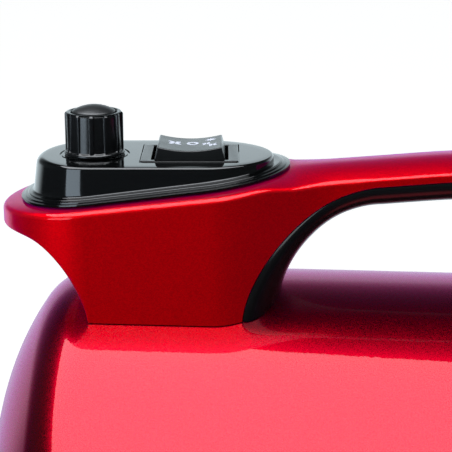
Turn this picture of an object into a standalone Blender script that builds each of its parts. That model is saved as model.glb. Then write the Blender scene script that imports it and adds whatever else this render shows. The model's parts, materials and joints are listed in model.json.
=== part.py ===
"""Canister blower with a top handle, control pod, motor, two-stage fan and heater.

All sizes below are in millimetres and are turned into metres when a mesh is made.
X runs along the canister (hose outlet at -X, air filter at +X), Y across it, Z up.
The feet stand on Z = 0 and the middle of the overall length is X = 0.
"""
import math

import bmesh
import bpy
from mathutils import Matrix, Vector

MM = 0.001
GAP = 0.3

# ---------------------------------------------------------------- driving dimensions
AXIS_Z = 98.0
CANISTER_RADIUS = 88.0
CANISTER_WALL = 1.6
CANISTER_SEGMENTS = 36
SHOULDER_X = -140.0
SHOULDER_RADIUS = 20.0
SHOULDER_TURN = math.radians(55.0)
DOME_RADIUS = 90.0
OUTLET_RADIUS = 24.5
TAPER_X = -88.0
TAPER_SLOPE = 0.0255
CANISTER_END_X = 154.0
NOSE_X = SHOULDER_X + (DOME_RADIUS - SHOULDER_RADIUS) * math.sin(SHOULDER_TURN) - DOME_RADIUS

DECK_Z = 215.07
DECK_X = -162.36
DECK_SLOPE = 0.1183
HANDLE_TIP_X = -168.2
HANDLE_PLAN_X = -138.0
HANDLE_END_X = 120.0
NECK_HALF_WIDTH = 29.0
NECK_WIDENING = 1.4
BAR_HALF_WIDTH = 15.0
POST_WIDENING = 6.0
NARROWING_X = -100.0
NARROWING_LENGTH = 40.0
POST_ROUND_LENGTH = 17.0
CROWN_START_X = -88.0
CROWN_FULL_X = -73.0
DECK_DROP = 1.0
CROWN_DROP = 3.4
CROWN_LINE = [(-74.5, 225.46), (-49.0, 227.27), (-23.0, 229.10), (14.0, 230.3), (49.0, 228.0),
              (79.0, 217.3), (102.0, 201.5), (HANDLE_END_X, 178.0)]
HANDLE_EDGE_RADIUS = 1.8
HANDLE_WALL = 2.4
HANDLE_FOOT_Z = 181.0
FLANGE_FLOOR_Z = 207.8
SWEEP_CENTRE = (-168.0, 169.0)
SWEEP_RADII = (30.5, 41.0)
NECK_START_X = -139.2
OPENING_FRONT_X = -46.0
OPENING_REAR_X = 52.0
PARTING_FRONT_REACH = 45.0
PARTING_REAR_REACH = 46.0
PARTING_POWER = 1.7
GRIP_FRONT_REACH = 32.0
GRIP_REAR_REACH = 30.0
GRIP_POWER = 1.9
PARTING_DEPTH = 6.0
LINER_DEPTH = 8.6
LINER_WALL = 2.2

POD_TOP_Z = 229.0
POD_WALL_Z = 226.8
POD_LEFT_X = -137.5
POD_RIGHT_X = -104.0
POD_LEFT_REACH = 18.5
POD_RIGHT_REACH = 22.5
POD_HALF_WIDTH = 19.5
POD_DRAFT = math.tan(math.radians(7.5))
POD_LIP = 6.2
POD_WALL = 2.3
POD_CEILING = 2.5

ROCKER_X = -107.5
ROCKER_BEZEL = (31.0, 25.6)
ROCKER_HOUSING = (27.8, 22.8)
ROCKER_OPENING = (24.4, 20.9)
ROCKER_PIVOT_Z = 226.0
KNOB_X = -138.3
KNOB_FLUTES = 12
KNOB_RADIUS = 9.35
KNOB_BASE_RADIUS = 10.25
KNOB_FLUTE_DEPTH = 0.75

BEZEL_END_X = 194.0
BEZEL_BORE = 58.0
GLAND_RADIUS_FROM_AXIS = 66.9
COLLAR_TIP_X = -208.0
FOOT_HEIGHT = 4.7
FOOT_RADIUS = 11.0
SADDLE_LENGTH = 50.0
SADDLE_CENTRES_X = (-101.0, 99.0)
FOOT_Y = 45.0
FOOT_STEM_RADIUS = 3.4

RED = (0.42, 0.004, 0.012, 1.0)
BLACK = (0.008, 0.008, 0.010, 1.0)
RUBBER = (0.015, 0.015, 0.015, 1.0)
STEEL = (0.55, 0.56, 0.57, 1.0)
ALUMINIUM = (0.72, 0.73, 0.74, 1.0)
COPPER = (0.72, 0.28, 0.12, 1.0)
BRASS = (0.70, 0.52, 0.22, 1.0)
CARBON = (0.03, 0.03, 0.03, 1.0)
MICA = (0.62, 0.52, 0.34, 1.0)
BOARD_GREEN = (0.02, 0.20, 0.08, 1.0)
FOAM = (0.05, 0.05, 0.055, 1.0)
AMBER = (0.70, 0.36, 0.03, 1.0)
IVORY = (0.75, 0.72, 0.62, 1.0)


AXIS_POINT = (0.0, 0.0, AXIS_Z)
SEAM_MERGE = 0.003

BOSS_TOP_Z = 193.0
HANDLE_SCREW_PLACES = ((-126.0, -23.0), (-126.0, 23.0), (105.5, 0.0))
GROMMET_X = -112.0
GROMMET_HOLE_RADIUS = 9.0
BOARD_Y = 14.6
BOARD_THICKNESS = 1.6
BOARD_STANDOFFS_X = (-129.0, -99.0)
BOARD_STANDOFF_Z = 206.0

FAN_RADIUS = 70.0
IMPELLER_RADIUS = 60.0
SHAFT_RADIUS = 4.0
FRAME_RADIUS = 50.4

# ---------------------------------------------------------------- mesh helpers
def make_material(name, colour, roughness, metallic):
    material = bpy.data.materials.new(name + "_material")
    material.use_nodes = True
    material.diffuse_color = colour
    shader = material.node_tree.nodes["Principled BSDF"]
    shader.inputs["Base Color"].default_value = colour
    shader.inputs["Roughness"].default_value = roughness
    shader.inputs["Metallic"].default_value = metallic
    return material


def object_from_bmesh(bm, name="shape", origin=(0.0, 0.0, 0.0)):
    """Turn a millimetre bmesh into an object whose origin is the given point."""
    bmesh.ops.recalc_face_normals(bm, faces=bm.faces)
    bmesh.ops.translate(bm, verts=bm.verts, vec=-Vector(origin))
    bmesh.ops.scale(bm, verts=bm.verts, vec=(MM, MM, MM))
    mesh = bpy.data.meshes.new(name)
    bm.to_mesh(mesh)
    bm.free()
    shape = bpy.data.objects.new(name, mesh)
    shape.location = Vector(origin) * MM
    bpy.context.collection.objects.link(shape)
    return shape


def finish(shape, name, colour, roughness=0.4, metallic=0.0, smooth_angle=32.0):
    """Name the finished node and give it its material and shading."""
    shape.name = name
    shape.data.name = name
    shape.data.materials.clear()
    shape.data.materials.append(make_material(name, colour, roughness, metallic))
    shape.data.shade_smooth()
    shape.data.set_sharp_from_angle(angle=math.radians(smooth_angle))
    return shape


def combine(target, tool, operation):
    """Boolean one shape with another, keep the result and drop the tool."""
    modifier = target.modifiers.new("combine", 'BOOLEAN')
    modifier.operation = operation
    modifier.solver = 'EXACT'
    modifier.object = tool
    bpy.context.view_layer.update()
    graph = bpy.context.evaluated_depsgraph_get()
    result = bpy.data.meshes.new_from_object(target.evaluated_get(graph))
    target.modifiers.remove(modifier)
    target.data = result
    bpy.data.objects.remove(tool)
    return target


def cut(target, *tools):
    for tool in tools:
        combine(target, tool, 'DIFFERENCE')
    return target


def join(target, *tools):
    for tool in tools:
        combine(target, tool, 'UNION')
    return target


def gather(shapes):
    """Put separate closed bodies into one tool, for one Boolean with all of them."""
    bm = bmesh.new()
    for shape in shapes:
        piece = shape.data.copy()
        piece.transform(Matrix.Translation(shape.location))
        bm.from_mesh(piece)
        bpy.data.objects.remove(shape)
    bmesh.ops.scale(bm, verts=bm.verts, vec=(1.0 / MM, 1.0 / MM, 1.0 / MM))
    return object_from_bmesh(bm)


def lofted(rings, closed=False, origin=(0.0, 0.0, 0.0)):
    """Skin equal rings of points; the ends are capped unless the loft closes on itself."""
    bm = bmesh.new()
    vertex_rings = [[bm.verts.new(point) for point in ring] for ring in rings]
    count = len(rings[0])
    last = len(rings) if closed else len(rings) - 1
    for index in range(last):
        ring = vertex_rings[index]
        following = vertex_rings[(index + 1) % len(rings)]
        for step in range(count):
            after = (step + 1) % count
            bm.faces.new((ring[step], ring[after], following[after], following[step]))
    if not closed:
        bm.faces.new(vertex_rings[0])
        bm.faces.new(vertex_rings[-1])
    return object_from_bmesh(bm, origin=origin)


def turned(profile, centre, axis='X', segments=24, origin=(0.0, 0.0, 0.0)):
    """Spin a (radius, height) outline about an axis through the centre.

    An outline that starts and ends at radius 0 makes a solid; any other outline is
    closed by joining its last point to its first, which makes a ring.
    """
    bm = bmesh.new()
    verts = [bm.verts.new((radius, 0.0, height)) for radius, height in profile]
    edges = [bm.edges.new(pair) for pair in zip(verts, verts[1:])]
    if profile[0][0] > 0.0:
        edges.append(bm.edges.new((verts[-1], verts[0])))
    bmesh.ops.spin(bm, geom=verts + edges, cent=(0.0, 0.0, 0.0), axis=(0.0, 0.0, 1.0),
                   angle=2.0 * math.pi, steps=segments, use_duplicate=False)
    bmesh.ops.remove_doubles(bm, verts=bm.verts, dist=SEAM_MERGE)
    turn = {
        'X': Matrix.Rotation(math.radians(90.0), 4, 'Y'),
        'Y': Matrix.Rotation(math.radians(-90.0), 4, 'X'),
        'Z': Matrix.Identity(4),
    }[axis]
    bmesh.ops.transform(bm, matrix=Matrix.Translation(centre) @ turn, verts=bm.verts)
    return object_from_bmesh(bm, origin=origin)


def ring_profile(inner, outer, low, high):
    return [(inner, low), (outer, low), (outer, high), (inner, high)]


def rod(radius, start, length, axis='X', segments=16, origin=(0.0, 0.0, 0.0)):
    profile = [(0.0, 0.0), (radius, 0.0), (radius, length), (0.0, length)]
    return turned(profile, start, axis, segments, origin)


def block(low, high, bevel=0.0):
    bm = bmesh.new()
    bmesh.ops.create_cube(bm, size=1.0)
    size = [high[axis] - low[axis] for axis in range(3)]
    middle = [(high[axis] + low[axis]) / 2.0 for axis in range(3)]
    bmesh.ops.scale(bm, verts=bm.verts, vec=size)
    bmesh.ops.translate(bm, verts=bm.verts, vec=middle)
    if bevel > 0.0:
        bmesh.ops.bevel(bm, geom=bm.edges, offset=bevel, segments=2, affect='EDGES', profile=0.5)
    return object_from_bmesh(bm)


def extruded(outline, axis, low, high):
    """Extrude a flat outline along X (outline is y, z), Y (x, z) or Z (x, y)."""
    place = {
        'X': lambda a, b, level: (level, a, b),
        'Y': lambda a, b, level: (a, level, b),
        'Z': lambda a, b, level: (a, b, level),
    }[axis]
    return lofted([[place(a, b, level) for a, b in outline] for level in (low, high)])


def arc(centre, radius, start, end, steps):
    """Points along an arc in a plane, both ends included; angles in degrees."""
    points = []
    for step in range(steps + 1):
        angle = math.radians(start + (end - start) * step / steps)
        points.append((centre[0] + radius * math.cos(angle), centre[1] + radius * math.sin(angle)))
    return points


def smoothstep(value):
    value = min(1.0, max(0.0, value))
    return value * value * (3.0 - 2.0 * value)


def mix(first, second, share):
    return first + (second - first) * share


def spline(points, x):
    """Smooth curve through (x, z) points, by cubic pieces with averaged slopes."""
    slopes = []
    for index in range(len(points)):
        before = points[max(0, index - 1)]
        after = points[min(len(points) - 1, index + 1)]
        slopes.append((after[1] - before[1]) / (after[0] - before[0]))
    index = 0
    while index < len(points) - 2 and x > points[index + 1][0]:
        index += 1
    (x0, z0), (x1, z1) = points[index], points[index + 1]
    span = x1 - x0
    share = min(1.0, max(0.0, (x - x0) / span))
    square = share * share
    cube = square * share
    return (z0 * (2 * cube - 3 * square + 1) + slopes[index] * span * (cube - 2 * square + share)
            + z1 * (3 * square - 2 * cube) + slopes[index + 1] * span * (cube - square))


# ---------------------------------------------------------------- canister
def canister_radius(x):
    return CANISTER_RADIUS - TAPER_SLOPE * max(0.0, x - TAPER_X)


def canister_outline(inset, mouth_radius, end_x, dome_steps=4, shoulder_steps=5):
    """(radius, x) points from the outlet mouth, over dome and shoulder, to the open end."""
    sine = math.sin(SHOULDER_TURN)
    cosine = math.cos(SHOULDER_TURN)
    shoulder_r = CANISTER_RADIUS - SHOULDER_RADIUS
    joint_x = SHOULDER_X - SHOULDER_RADIUS * sine
    joint_r = shoulder_r + SHOULDER_RADIUS * cosine
    dome_x = joint_x + DOME_RADIUS * sine
    dome_r = joint_r - DOME_RADIUS * cosine
    points = [(mouth_radius, dome_x - DOME_RADIUS + inset)]
    turn = math.degrees(SHOULDER_TURN)
    for step in range(dome_steps):
        angle = math.radians(90.0 + (turn - 90.0) * step / dome_steps)
        reach = DOME_RADIUS - inset
        points.append((dome_r + reach * math.cos(angle), dome_x - reach * math.sin(angle)))
    for step in range(shoulder_steps + 1):
        angle = math.radians(turn * (1.0 - step / shoulder_steps))
        reach = SHOULDER_RADIUS - inset
        points.append((shoulder_r + reach * math.cos(angle), SHOULDER_X - reach * math.sin(angle)))
    points.append((CANISTER_RADIUS - inset, TAPER_X))
    points.append((canister_radius(end_x) - inset, end_x))
    return points


def canister_tool():
    """Solid of the canister grown by the assembly gap, used to cut what sits on it."""
    outline = canister_outline(-GAP, 0.0, CANISTER_END_X)
    return turned(outline + [(0.0, CANISTER_END_X)], AXIS_POINT, 'X', CANISTER_SEGMENTS)


def canister_shell():
    outer = canister_outline(0.0, OUTLET_RADIUS, CANISTER_END_X)
    inner = canister_outline(CANISTER_WALL, OUTLET_RADIUS, CANISTER_END_X, 2, 3)
    shell = turned(outer + inner[::-1], AXIS_POINT, 'X', CANISTER_SEGMENTS)
    hole_depth = 20.0
    tools = [rod(GROMMET_HOLE_RADIUS, (GROMMET_X, 0.0, HANDLE_FOOT_Z - 5.0), hole_depth, 'Z')]
    for x, y in HANDLE_SCREW_PLACES:
        tools.append(rod(2.6, (x, y, HANDLE_FOOT_Z - 10.0), hole_depth, 'Z', 8))
    for x in SADDLE_CENTRES_X:
        tools.append(rod(2.9, (x, 0.0, 5.0), hole_depth, 'Z', 8))
    cut(shell, gather(tools))
    return finish(shell, "canister_shell", RED, 0.25, 0.6, 25.0)


# ---------------------------------------------------------------- handle
def deck_z(x):
    return DECK_Z + DECK_SLOPE * (x - DECK_X)


def crown_z(x):
    """Height of the handle's top along its middle."""
    return deck_z(x) if x < CROWN_LINE[0][0] else spline(CROWN_LINE, x)


def handle_half_width(x):
    if x < HANDLE_PLAN_X:
        reach = (HANDLE_PLAN_X - x) / (HANDLE_PLAN_X - HANDLE_TIP_X)
        return NECK_HALF_WIDTH * math.sqrt(max(0.0, 1.0 - reach * reach))
    neck = NECK_HALF_WIDTH + NECK_WIDENING * min(1.0, (x - HANDLE_PLAN_X) / (NARROWING_X - HANDLE_PLAN_X))
    width = mix(neck, BAR_HALF_WIDTH, smoothstep((x - NARROWING_X) / NARROWING_LENGTH))
    width += POST_WIDENING * smoothstep((x - OPENING_REAR_X) / 45.0)
    ending = (x - (HANDLE_END_X - POST_ROUND_LENGTH)) / POST_ROUND_LENGTH
    return width * math.sqrt(max(0.0, 1.0 - max(0.0, ending) ** 2))


def quarter(reach, rise, power, turn):
    """Point of a quarter superellipse: turn 0 is its foot, 90 degrees its top."""
    across = math.cos(turn) ** (2.0 / power)
    up = math.sin(turn) ** (2.0 / power)
    return reach * across, rise * up


def parting_z(x):
    """Height of the line where the coloured shell meets the black liner."""
    if x < OPENING_FRONT_X:
        centre, reach = OPENING_FRONT_X, PARTING_FRONT_REACH
    elif x > OPENING_REAR_X:
        centre, reach = OPENING_REAR_X, PARTING_REAR_REACH
    else:
        return crown_z(x) - PARTING_DEPTH
    rise = crown_z(centre) - PARTING_DEPTH - HANDLE_FOOT_Z
    share = min(1.0, abs(x - centre) / reach)
    if share >= 1.0:
        return HANDLE_FOOT_Z - 8.0
    return HANDLE_FOOT_Z + rise * (1.0 - share ** PARTING_POWER) ** (1.0 / PARTING_POWER)


def handle_bottom_z(x):
    """Lower boundary of the coloured shell before the canister is cut out of it."""
    if x < NECK_START_X:
        share = min(1.0, (x - SWEEP_CENTRE[0]) / SWEEP_RADII[0])
        share = max(0.0, share)
        sweep = SWEEP_CENTRE[1] + SWEEP_RADII[1] * math.sqrt(1.0 - share * share)
        softness = 1.2
        low = min(sweep, FLANGE_FLOOR_Z)
        return low - softness * math.log(1.0 + math.exp(-abs(sweep - FLANGE_FLOOR_Z) / softness))
    return min(HANDLE_FOOT_Z - 8.0, parting_z(x)) if x < -92.0 else parting_z(x)


def handle_section(x, inset, bottom):
    """Closed ring across the handle at x; an inset one is the plain-cornered hollow inside it."""
    half = handle_half_width(x) - inset
    top = crown_z(x) - inset
    share = smoothstep((x - CROWN_START_X) / (CROWN_FULL_X - CROWN_START_X))
    drop = mix(DECK_DROP, CROWN_DROP, share)
    power = mix(8.0, 2.0, share)
    edge = min(HANDLE_EDGE_RADIUS, 0.5 * half, 0.4 * (top - drop - bottom)) if inset == 0.0 else 0.0
    side = []
    for fraction in (0.0, 0.5, 0.8, 1.0) if inset == 0.0 else (0.0, 0.7, 1.0):
        y = (half - edge) * fraction
        side.append((y, top - drop * (y / half) ** power))
    shoulder = side[-1][1]
    for angle in (45.0, 90.0) if edge > 0.0 else ():
        turn = math.radians(angle)
        side.append((half - edge + edge * math.sin(turn), shoulder - edge * (1.0 - math.cos(turn))))
    side.append((half, bottom))
    ring = [(x, y, z) for y, z in side]
    ring += [(x, -y, z) for y, z in side[:0:-1]]
    return ring


def handle_stations(start, end):
    """Places along the handle, close together where its outline turns quickly."""
    stations = []
    tip_reach = HANDLE_PLAN_X - HANDLE_TIP_X
    for angle in (4, 15, 27, 39, 51, 63, 76):
        stations.append(HANDLE_PLAN_X - tip_reach * math.cos(math.radians(angle)))
    stations += [HANDLE_PLAN_X, -120.0, NARROWING_X, -93.5]
    for step in range(11):
        foot = math.radians(2.0 + 8.0 * step)
        across, _ = quarter(PARTING_FRONT_REACH, 1.0, PARTING_POWER, foot)
        stations.append(OPENING_FRONT_X - across)
    stations += [OPENING_FRONT_X, -23.0, 0.0, 18.0, 36.0, OPENING_REAR_X]
    stations += [61.0, 70.0, 79.0, 86.0, 91.5, 95.5, 97.9, 101.0]
    for angle in (15, 35, 55, 75):
        reach = POST_ROUND_LENGTH * math.sin(math.radians(angle))
        stations.append(HANDLE_END_X - POST_ROUND_LENGTH + reach)
    return [x for x in sorted(stations) if start <= x <= end]


def handle_shell():
    outer = [handle_section(x, 0.0, handle_bottom_z(x)) for x in handle_stations(-200.0, 200.0)]
    shell = lofted(outer)
    hollow_rings = []
    for x in handle_stations(-160.0, HANDLE_END_X - 4.0)[::2]:
        below = handle_bottom_z(x) + HANDLE_WALL if x < NECK_START_X else handle_bottom_z(x) - 6.0
        hollow_rings.append(handle_section(x, HANDLE_WALL, below))
    cut(shell, lofted(hollow_rings))
    bosses = []
    for x, y in HANDLE_SCREW_PLACES:
        bosses.append(rod(4.2, (x, y, 170.0), BOSS_TOP_Z - 170.0, 'Z', 12))
    for x in BOARD_STANDOFFS_X:
        bosses.append(rod(2.6, (x, BOARD_Y + BOARD_THICKNESS + GAP, BOARD_STANDOFF_Z), 12.6, 'Y', 8))
    join(shell, gather(bosses))
    pod_opening = extruded(pod_outline(-4.5), 'Z', 205.0, 235.0)
    pilot_holes = [rod(1.8, (x, y, 165.0), BOSS_TOP_Z - 166.5, 'Z', 8) for x, y in HANDLE_SCREW_PLACES]
    cut(shell, pod_opening, gather(pilot_holes), canister_tool())
    return finish(shell, "handle_shell", RED, 0.25, 0.6, 30.0)


def liner_rail():
    """Stations of the liner: parting point, grip point and half width, front foot to rear foot."""
    rail = []
    for angle in (0, 10, 20, 30, 40, 50, 60, 70, 80):
        rail.append(liner_station(OPENING_FRONT_X, -1.0, PARTING_FRONT_REACH, GRIP_FRONT_REACH, angle))
    for x in (-46.0, -23.0, 0.0, 18.0, 36.0, 52.0):
        rail.append(((x, parting_z(x)), (x, parting_z(x) - LINER_DEPTH), handle_half_width(x)))
    for angle in (78, 65, 52, 39, 26, 13, 0):
        rail.append(liner_station(OPENING_REAR_X, 1.0, PARTING_REAR_REACH, GRIP_REAR_REACH, angle))
    return rail


def liner_station(centre, direction, parting_reach, grip_reach, angle):
    turn = math.radians(angle)
    rise = crown_z(centre) - PARTING_DEPTH - HANDLE_FOOT_Z
    outer = quarter(parting_reach, rise, PARTING_POWER, turn)
    inner = quarter(grip_reach, rise - LINER_DEPTH, GRIP_POWER, turn)
    parting = (centre + direction * outer[0], HANDLE_FOOT_Z + outer[1])
    grip = (centre + direction * inner[0], HANDLE_FOOT_Z + inner[1])
    return parting, grip, handle_half_width(parting[0])


def liner_section(parting, grip, half_width, inset):
    """Half an ellipse from one parting line, round the grip side, to the other."""
    depth = math.dist(parting, grip)
    direction = ((grip[0] - parting[0]) / depth, (grip[1] - parting[1]) / depth)
    points = []
    for angle in (0, 20, 42, 66, 90, 114, 138, 160, 180):
        turn = math.radians(angle)
        y = (half_width - inset) * math.cos(turn)
        out = GAP + (depth - GAP - inset) * math.sin(turn)
        points.append((parting[0] + direction[0] * out, y, parting[1] + direction[1] * out))
    return points


def handle_liner():
    rings = []
    rail = liner_rail()
    front, rear = rail[0], rail[-1]
    rail.insert(0, ((front[0][0], front[0][1] - 9.0), (front[1][0], front[1][1] - 9.0), front[2]))
    rail.append(((rear[0][0], rear[0][1] - 9.0), (rear[1][0], rear[1][1] - 9.0), rear[2]))
    for parting, grip, half_width in rail:
        outside = liner_section(parting, grip, half_width, 0.0)
        inside = liner_section(parting, grip, half_width, LINER_WALL)
        rings.append(outside + inside[::-1])
    liner = lofted(rings)
    cut(liner, canister_tool())
    return finish(liner, "handle_liner", BLACK, 0.25, 0.0, 35.0)


def handle_screws():
    for name, (x, y) in zip(("front_left", "front_right", "rear"), HANDLE_SCREW_PLACES):
        lift = math.sqrt(canister_radius(x) ** 2 - (abs(y) + 3.6) ** 2) - CANISTER_WALL
        seat = AXIS_Z + lift - 0.6
        profile = [(0.0, -2.6), (3.6, -2.6), (3.6, 0.0), (1.4, 0.0), (1.4, 10.0), (0.0, 11.0)]
        finish(turned(profile, (x, y, seat), 'Z', 10), "handle_screw_" + name, STEEL, 0.3, 1.0)


def wiring_grommet():
    hole = GROMMET_HOLE_RADIUS
    top = AXIS_Z + CANISTER_RADIUS
    profile = [(hole - 3.0, -7.0), (hole - GAP, -7.0), (hole - GAP, 0.5), (hole + 3.0, 0.5),
               (hole + 3.0, 2.2), (hole - 3.0, 2.2)]
    return finish(turned(profile, (GROMMET_X, 0.0, top), 'Z', 16), "wiring_grommet", RUBBER, 0.8)


# ---------------------------------------------------------------- control pod
def pod_outline(offset):
    """Plan of the pod: round ends of two lengths joined by straight sides."""
    points = []
    steps = 12
    for step in range(steps + 1):
        turn = math.radians(-90.0 + 180.0 * step / steps)
        points.append((POD_RIGHT_X + (POD_RIGHT_REACH + offset) * math.cos(turn),
                       (POD_HALF_WIDTH + offset) * math.sin(turn)))
    for step in range(steps + 1):
        turn = math.radians(90.0 + 180.0 * step / steps)
        points.append((POD_LEFT_X + (POD_LEFT_REACH + offset) * math.cos(turn),
                       (POD_HALF_WIDTH + offset) * math.sin(turn)))
    return points


def pod_ring_on_deck(offset, height, ceiling=None):
    ring = []
    for x, y in pod_outline(offset):
        z = deck_z(x) + height
        ring.append((x, y, z if ceiling is None else min(z, ceiling)))
    return ring


def pod_wall_ring(height, inset=0.0):
    """Ring on the drafted wall, a height above the sloping deck."""
    ring = []
    for (x0, y0), (x1, y1) in zip(pod_outline(1.0 - inset), pod_outline(2.0 - inset)):
        z = min(deck_z(x0) + height, POD_WALL_Z - 0.05)
        spread = POD_DRAFT * (POD_WALL_Z - z)
        ring.append((x0 + (x1 - x0) * spread, y0 + (y1 - y0) * spread, z))
    return ring


def control_pod():
    corner = POD_TOP_Z - POD_WALL_Z
    rings = [
        [(x, y, POD_TOP_Z - POD_CEILING) for x, y in pod_outline(1.0 - POD_WALL)],
        pod_wall_ring(GAP, POD_WALL),
        pod_ring_on_deck(POD_LIP, GAP),
        pod_ring_on_deck(POD_LIP, 0.8),
        pod_ring_on_deck(POD_LIP - 0.4, 1.1),
        pod_ring_on_deck(POD_LIP - 1.6, 1.1),
        pod_ring_on_deck(POD_LIP - 1.9, 1.6),
        pod_wall_ring(1.7),
    ]
    for angle in (0.0, 30.0, 60.0, 90.0):
        turn = math.radians(angle)
        offset = 1.0 - corner * (1.0 - math.cos(turn))
        height = POD_WALL_Z + corner * math.sin(turn)
        rings.append([(x, y, height) for x, y in pod_outline(offset)])
    pod = lofted(rings)
    pocket = (ROCKER_BEZEL[0] / 2.0 + GAP, ROCKER_BEZEL[1] / 2.0 + GAP)
    hole = (ROCKER_HOUSING[0] / 2.0 + GAP, ROCKER_HOUSING[1] / 2.0 + GAP)
    cut(pod,
        block((ROCKER_X - pocket[0], -pocket[1], POD_TOP_Z - 1.3), (ROCKER_X + pocket[0], pocket[1], 235.0)),
        block((ROCKER_X - hole[0], -hole[1], 220.0), (ROCKER_X + hole[0], hole[1], 235.0)),
        rod(4.8, (KNOB_X, 0.0, 222.0), 12.0, 'Z', 24))
    return finish(pod, "control_pod", BLACK, 0.12, 0.0, 28.0)


# ---------------------------------------------------------------- rocker switch
def rocker_housing():
    bezel = (ROCKER_BEZEL[0] / 2.0, ROCKER_BEZEL[1] / 2.0)
    outer = (ROCKER_HOUSING[0] / 2.0, ROCKER_HOUSING[1] / 2.0)
    inner = (ROCKER_OPENING[0] / 2.0, ROCKER_OPENING[1] / 2.0)
    top = POD_TOP_Z + 0.3
    housing = block((ROCKER_X - outer[0], -outer[1], 209.5), (ROCKER_X + outer[0], outer[1], top - 0.4))
    flange_low = (ROCKER_X - bezel[0], -bezel[1], POD_TOP_Z - 1.0)
    flange = block(flange_low, (ROCKER_X + bezel[0], bezel[1], top), 0.35)
    join(housing, flange)
    cut(housing, block((ROCKER_X - inner[0], -inner[1], 213.5), (ROCKER_X + inner[0], inner[1], 235.0)))
    join(housing, gather(terminal_tabs()))
    return finish(housing, "rocker_housing", BLACK, 0.3)


def rocker_actuator():
    """Saddle-topped actuator: both ends rise, and its lower part turns inside the housing."""
    pivot = (ROCKER_X, 0.0, ROCKER_PIVOT_Z)
    columns = 12
    rings = []
    for column in range(columns + 1):
        share = -1.0 + 2.0 * column / columns
        top_x = ROCKER_X + 10.1 * share
        base_x = ROCKER_X + 11.4 * share
        top_z = POD_TOP_Z + 2.9 + 1.3 * share * share
        base_z = POD_TOP_Z - 0.5
        rings.append([(top_x, -9.6, top_z), (top_x, 9.6, top_z),
                      (base_x, 10.05, base_z), (base_x, -10.05, base_z)])
    upper = lofted(rings, origin=pivot)
    outline = [(-11.0, 2.7), (11.0, 2.7), (10.6, -1.0)]
    for angle in range(15, 180, 15):
        turn = math.radians(angle)
        outline.append((10.6 * math.cos(turn), -1.0 - 7.5 * math.sin(turn)))
    outline.append((-10.6, -1.0))
    lower = extruded([(ROCKER_X + x, ROCKER_PIVOT_Z + z) for x, z in outline], 'Y', -9.4, 9.4)
    join(upper, lower)
    return finish(upper, "rocker_actuator", (0.10, 0.11, 0.12, 1.0), 0.35, 0.0, 25.0)


def terminal_tabs():
    """Two rows of three push-on tabs under the switch."""
    tabs = []
    for x in (-9.0, 0.0, 9.0):
        for y in (-5.5, 5.5):
            low = (ROCKER_X + x - 3.1, y - 0.4, 201.5)
            high = (ROCKER_X + x + 3.1, y + 0.4, 210.5)
            tabs.append(block(low, high))
    return tabs


# ---------------------------------------------------------------- airflow knob
def knob_ring(radius, height, depth=0.0):
    """Ring of the knob; a depth above zero presses its flutes in."""
    per_flute = 3
    count = KNOB_FLUTES * per_flute
    ring = []
    for step in range(count):
        turn = 2.0 * math.pi * step / count
        reach = radius - (depth if step % per_flute == 1 else 0.0)
        ring.append((KNOB_X + reach * math.cos(turn), reach * math.sin(turn), POD_TOP_Z + height))
    return ring


def knob():
    rings = [
        knob_ring(3.3, 3.4), knob_ring(6.8, 3.4), knob_ring(6.8, 0.5), knob_ring(KNOB_BASE_RADIUS, 0.5),
        knob_ring(KNOB_BASE_RADIUS - 0.15, 1.3), knob_ring(KNOB_RADIUS + 0.35, 1.9),
        knob_ring(KNOB_RADIUS + 0.2, 2.6, KNOB_FLUTE_DEPTH), knob_ring(KNOB_RADIUS, 11.6, KNOB_FLUTE_DEPTH),
        knob_ring(KNOB_RADIUS, 12.2), knob_ring(8.6, 13.1),
        knob_ring(7.3, 13.0), knob_ring(7.3, 9.6), knob_ring(3.3, 9.6),
    ]
    shape = lofted(rings, closed=True, origin=(KNOB_X, 0.0, POD_TOP_Z))
    return finish(shape, "knob", BLACK, 0.2, 0.0, 30.0)


def knob_cap():
    profile = [(0.0, 9.9), (6.2, 9.9), (6.9, 10.4), (6.9, 14.0), (6.4, 14.7),
               (5.0, 15.4), (2.6, 15.85), (0.0, 16.0)]
    shape = turned(profile, (KNOB_X, 0.0, POD_TOP_Z), 'Z', 24, (KNOB_X, 0.0, POD_TOP_Z))
    return finish(shape, "knob_cap", BLACK, 0.18, 0.0, 30.0)


def potentiometer():
    centre = (KNOB_X, 0.0, POD_TOP_Z)
    profile = [(3.3, 2.4), (4.4, 2.4), (4.4, -2.8), (11.0, -2.8), (11.0, -13.0), (3.4, -13.0),
               (3.4, -12.0), (9.6, -12.0), (9.6, -4.0), (3.3, -4.0)]
    body = turned(profile, centre, 'Z', 16)
    finish(body, "potentiometer_body", STEEL, 0.35, 0.9)
    profile = [(0.0, -12.6), (3.0, -12.6), (3.0, -9.0), (8.6, -9.0), (8.6, -8.0),
               (3.0, -8.0), (3.0, 9.2), (0.0, 9.2)]
    shaft = turned(profile, centre, 'Z', 14, centre)
    finish(shaft, "potentiometer_shaft", ALUMINIUM, 0.3, 1.0)
    nut = turned([(4.7, 0.4), (6.2, 0.4), (6.2, 2.4), (4.7, 2.4)], centre, 'Z', 6)
    cut(nut, rod(4.7, (KNOB_X, 0.0, POD_TOP_Z - 1.0), 6.0, 'Z', 24))
    finish(nut, "potentiometer_nut", STEEL, 0.3, 1.0)


# ---------------------------------------------------------------- speed control electronics
def control_board():
    board = block((-133.0, BOARD_Y, 185.8), (-95.0, BOARD_Y + BOARD_THICKNESS, 211.0))
    holes = [rod(1.4, (x, BOARD_Y - 2.0, BOARD_STANDOFF_Z), 6.0, 'Y', 8) for x in BOARD_STANDOFFS_X]
    cut(board, gather(holes))
    return finish(board, "control_board", BOARD_GREEN, 0.5)


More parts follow.
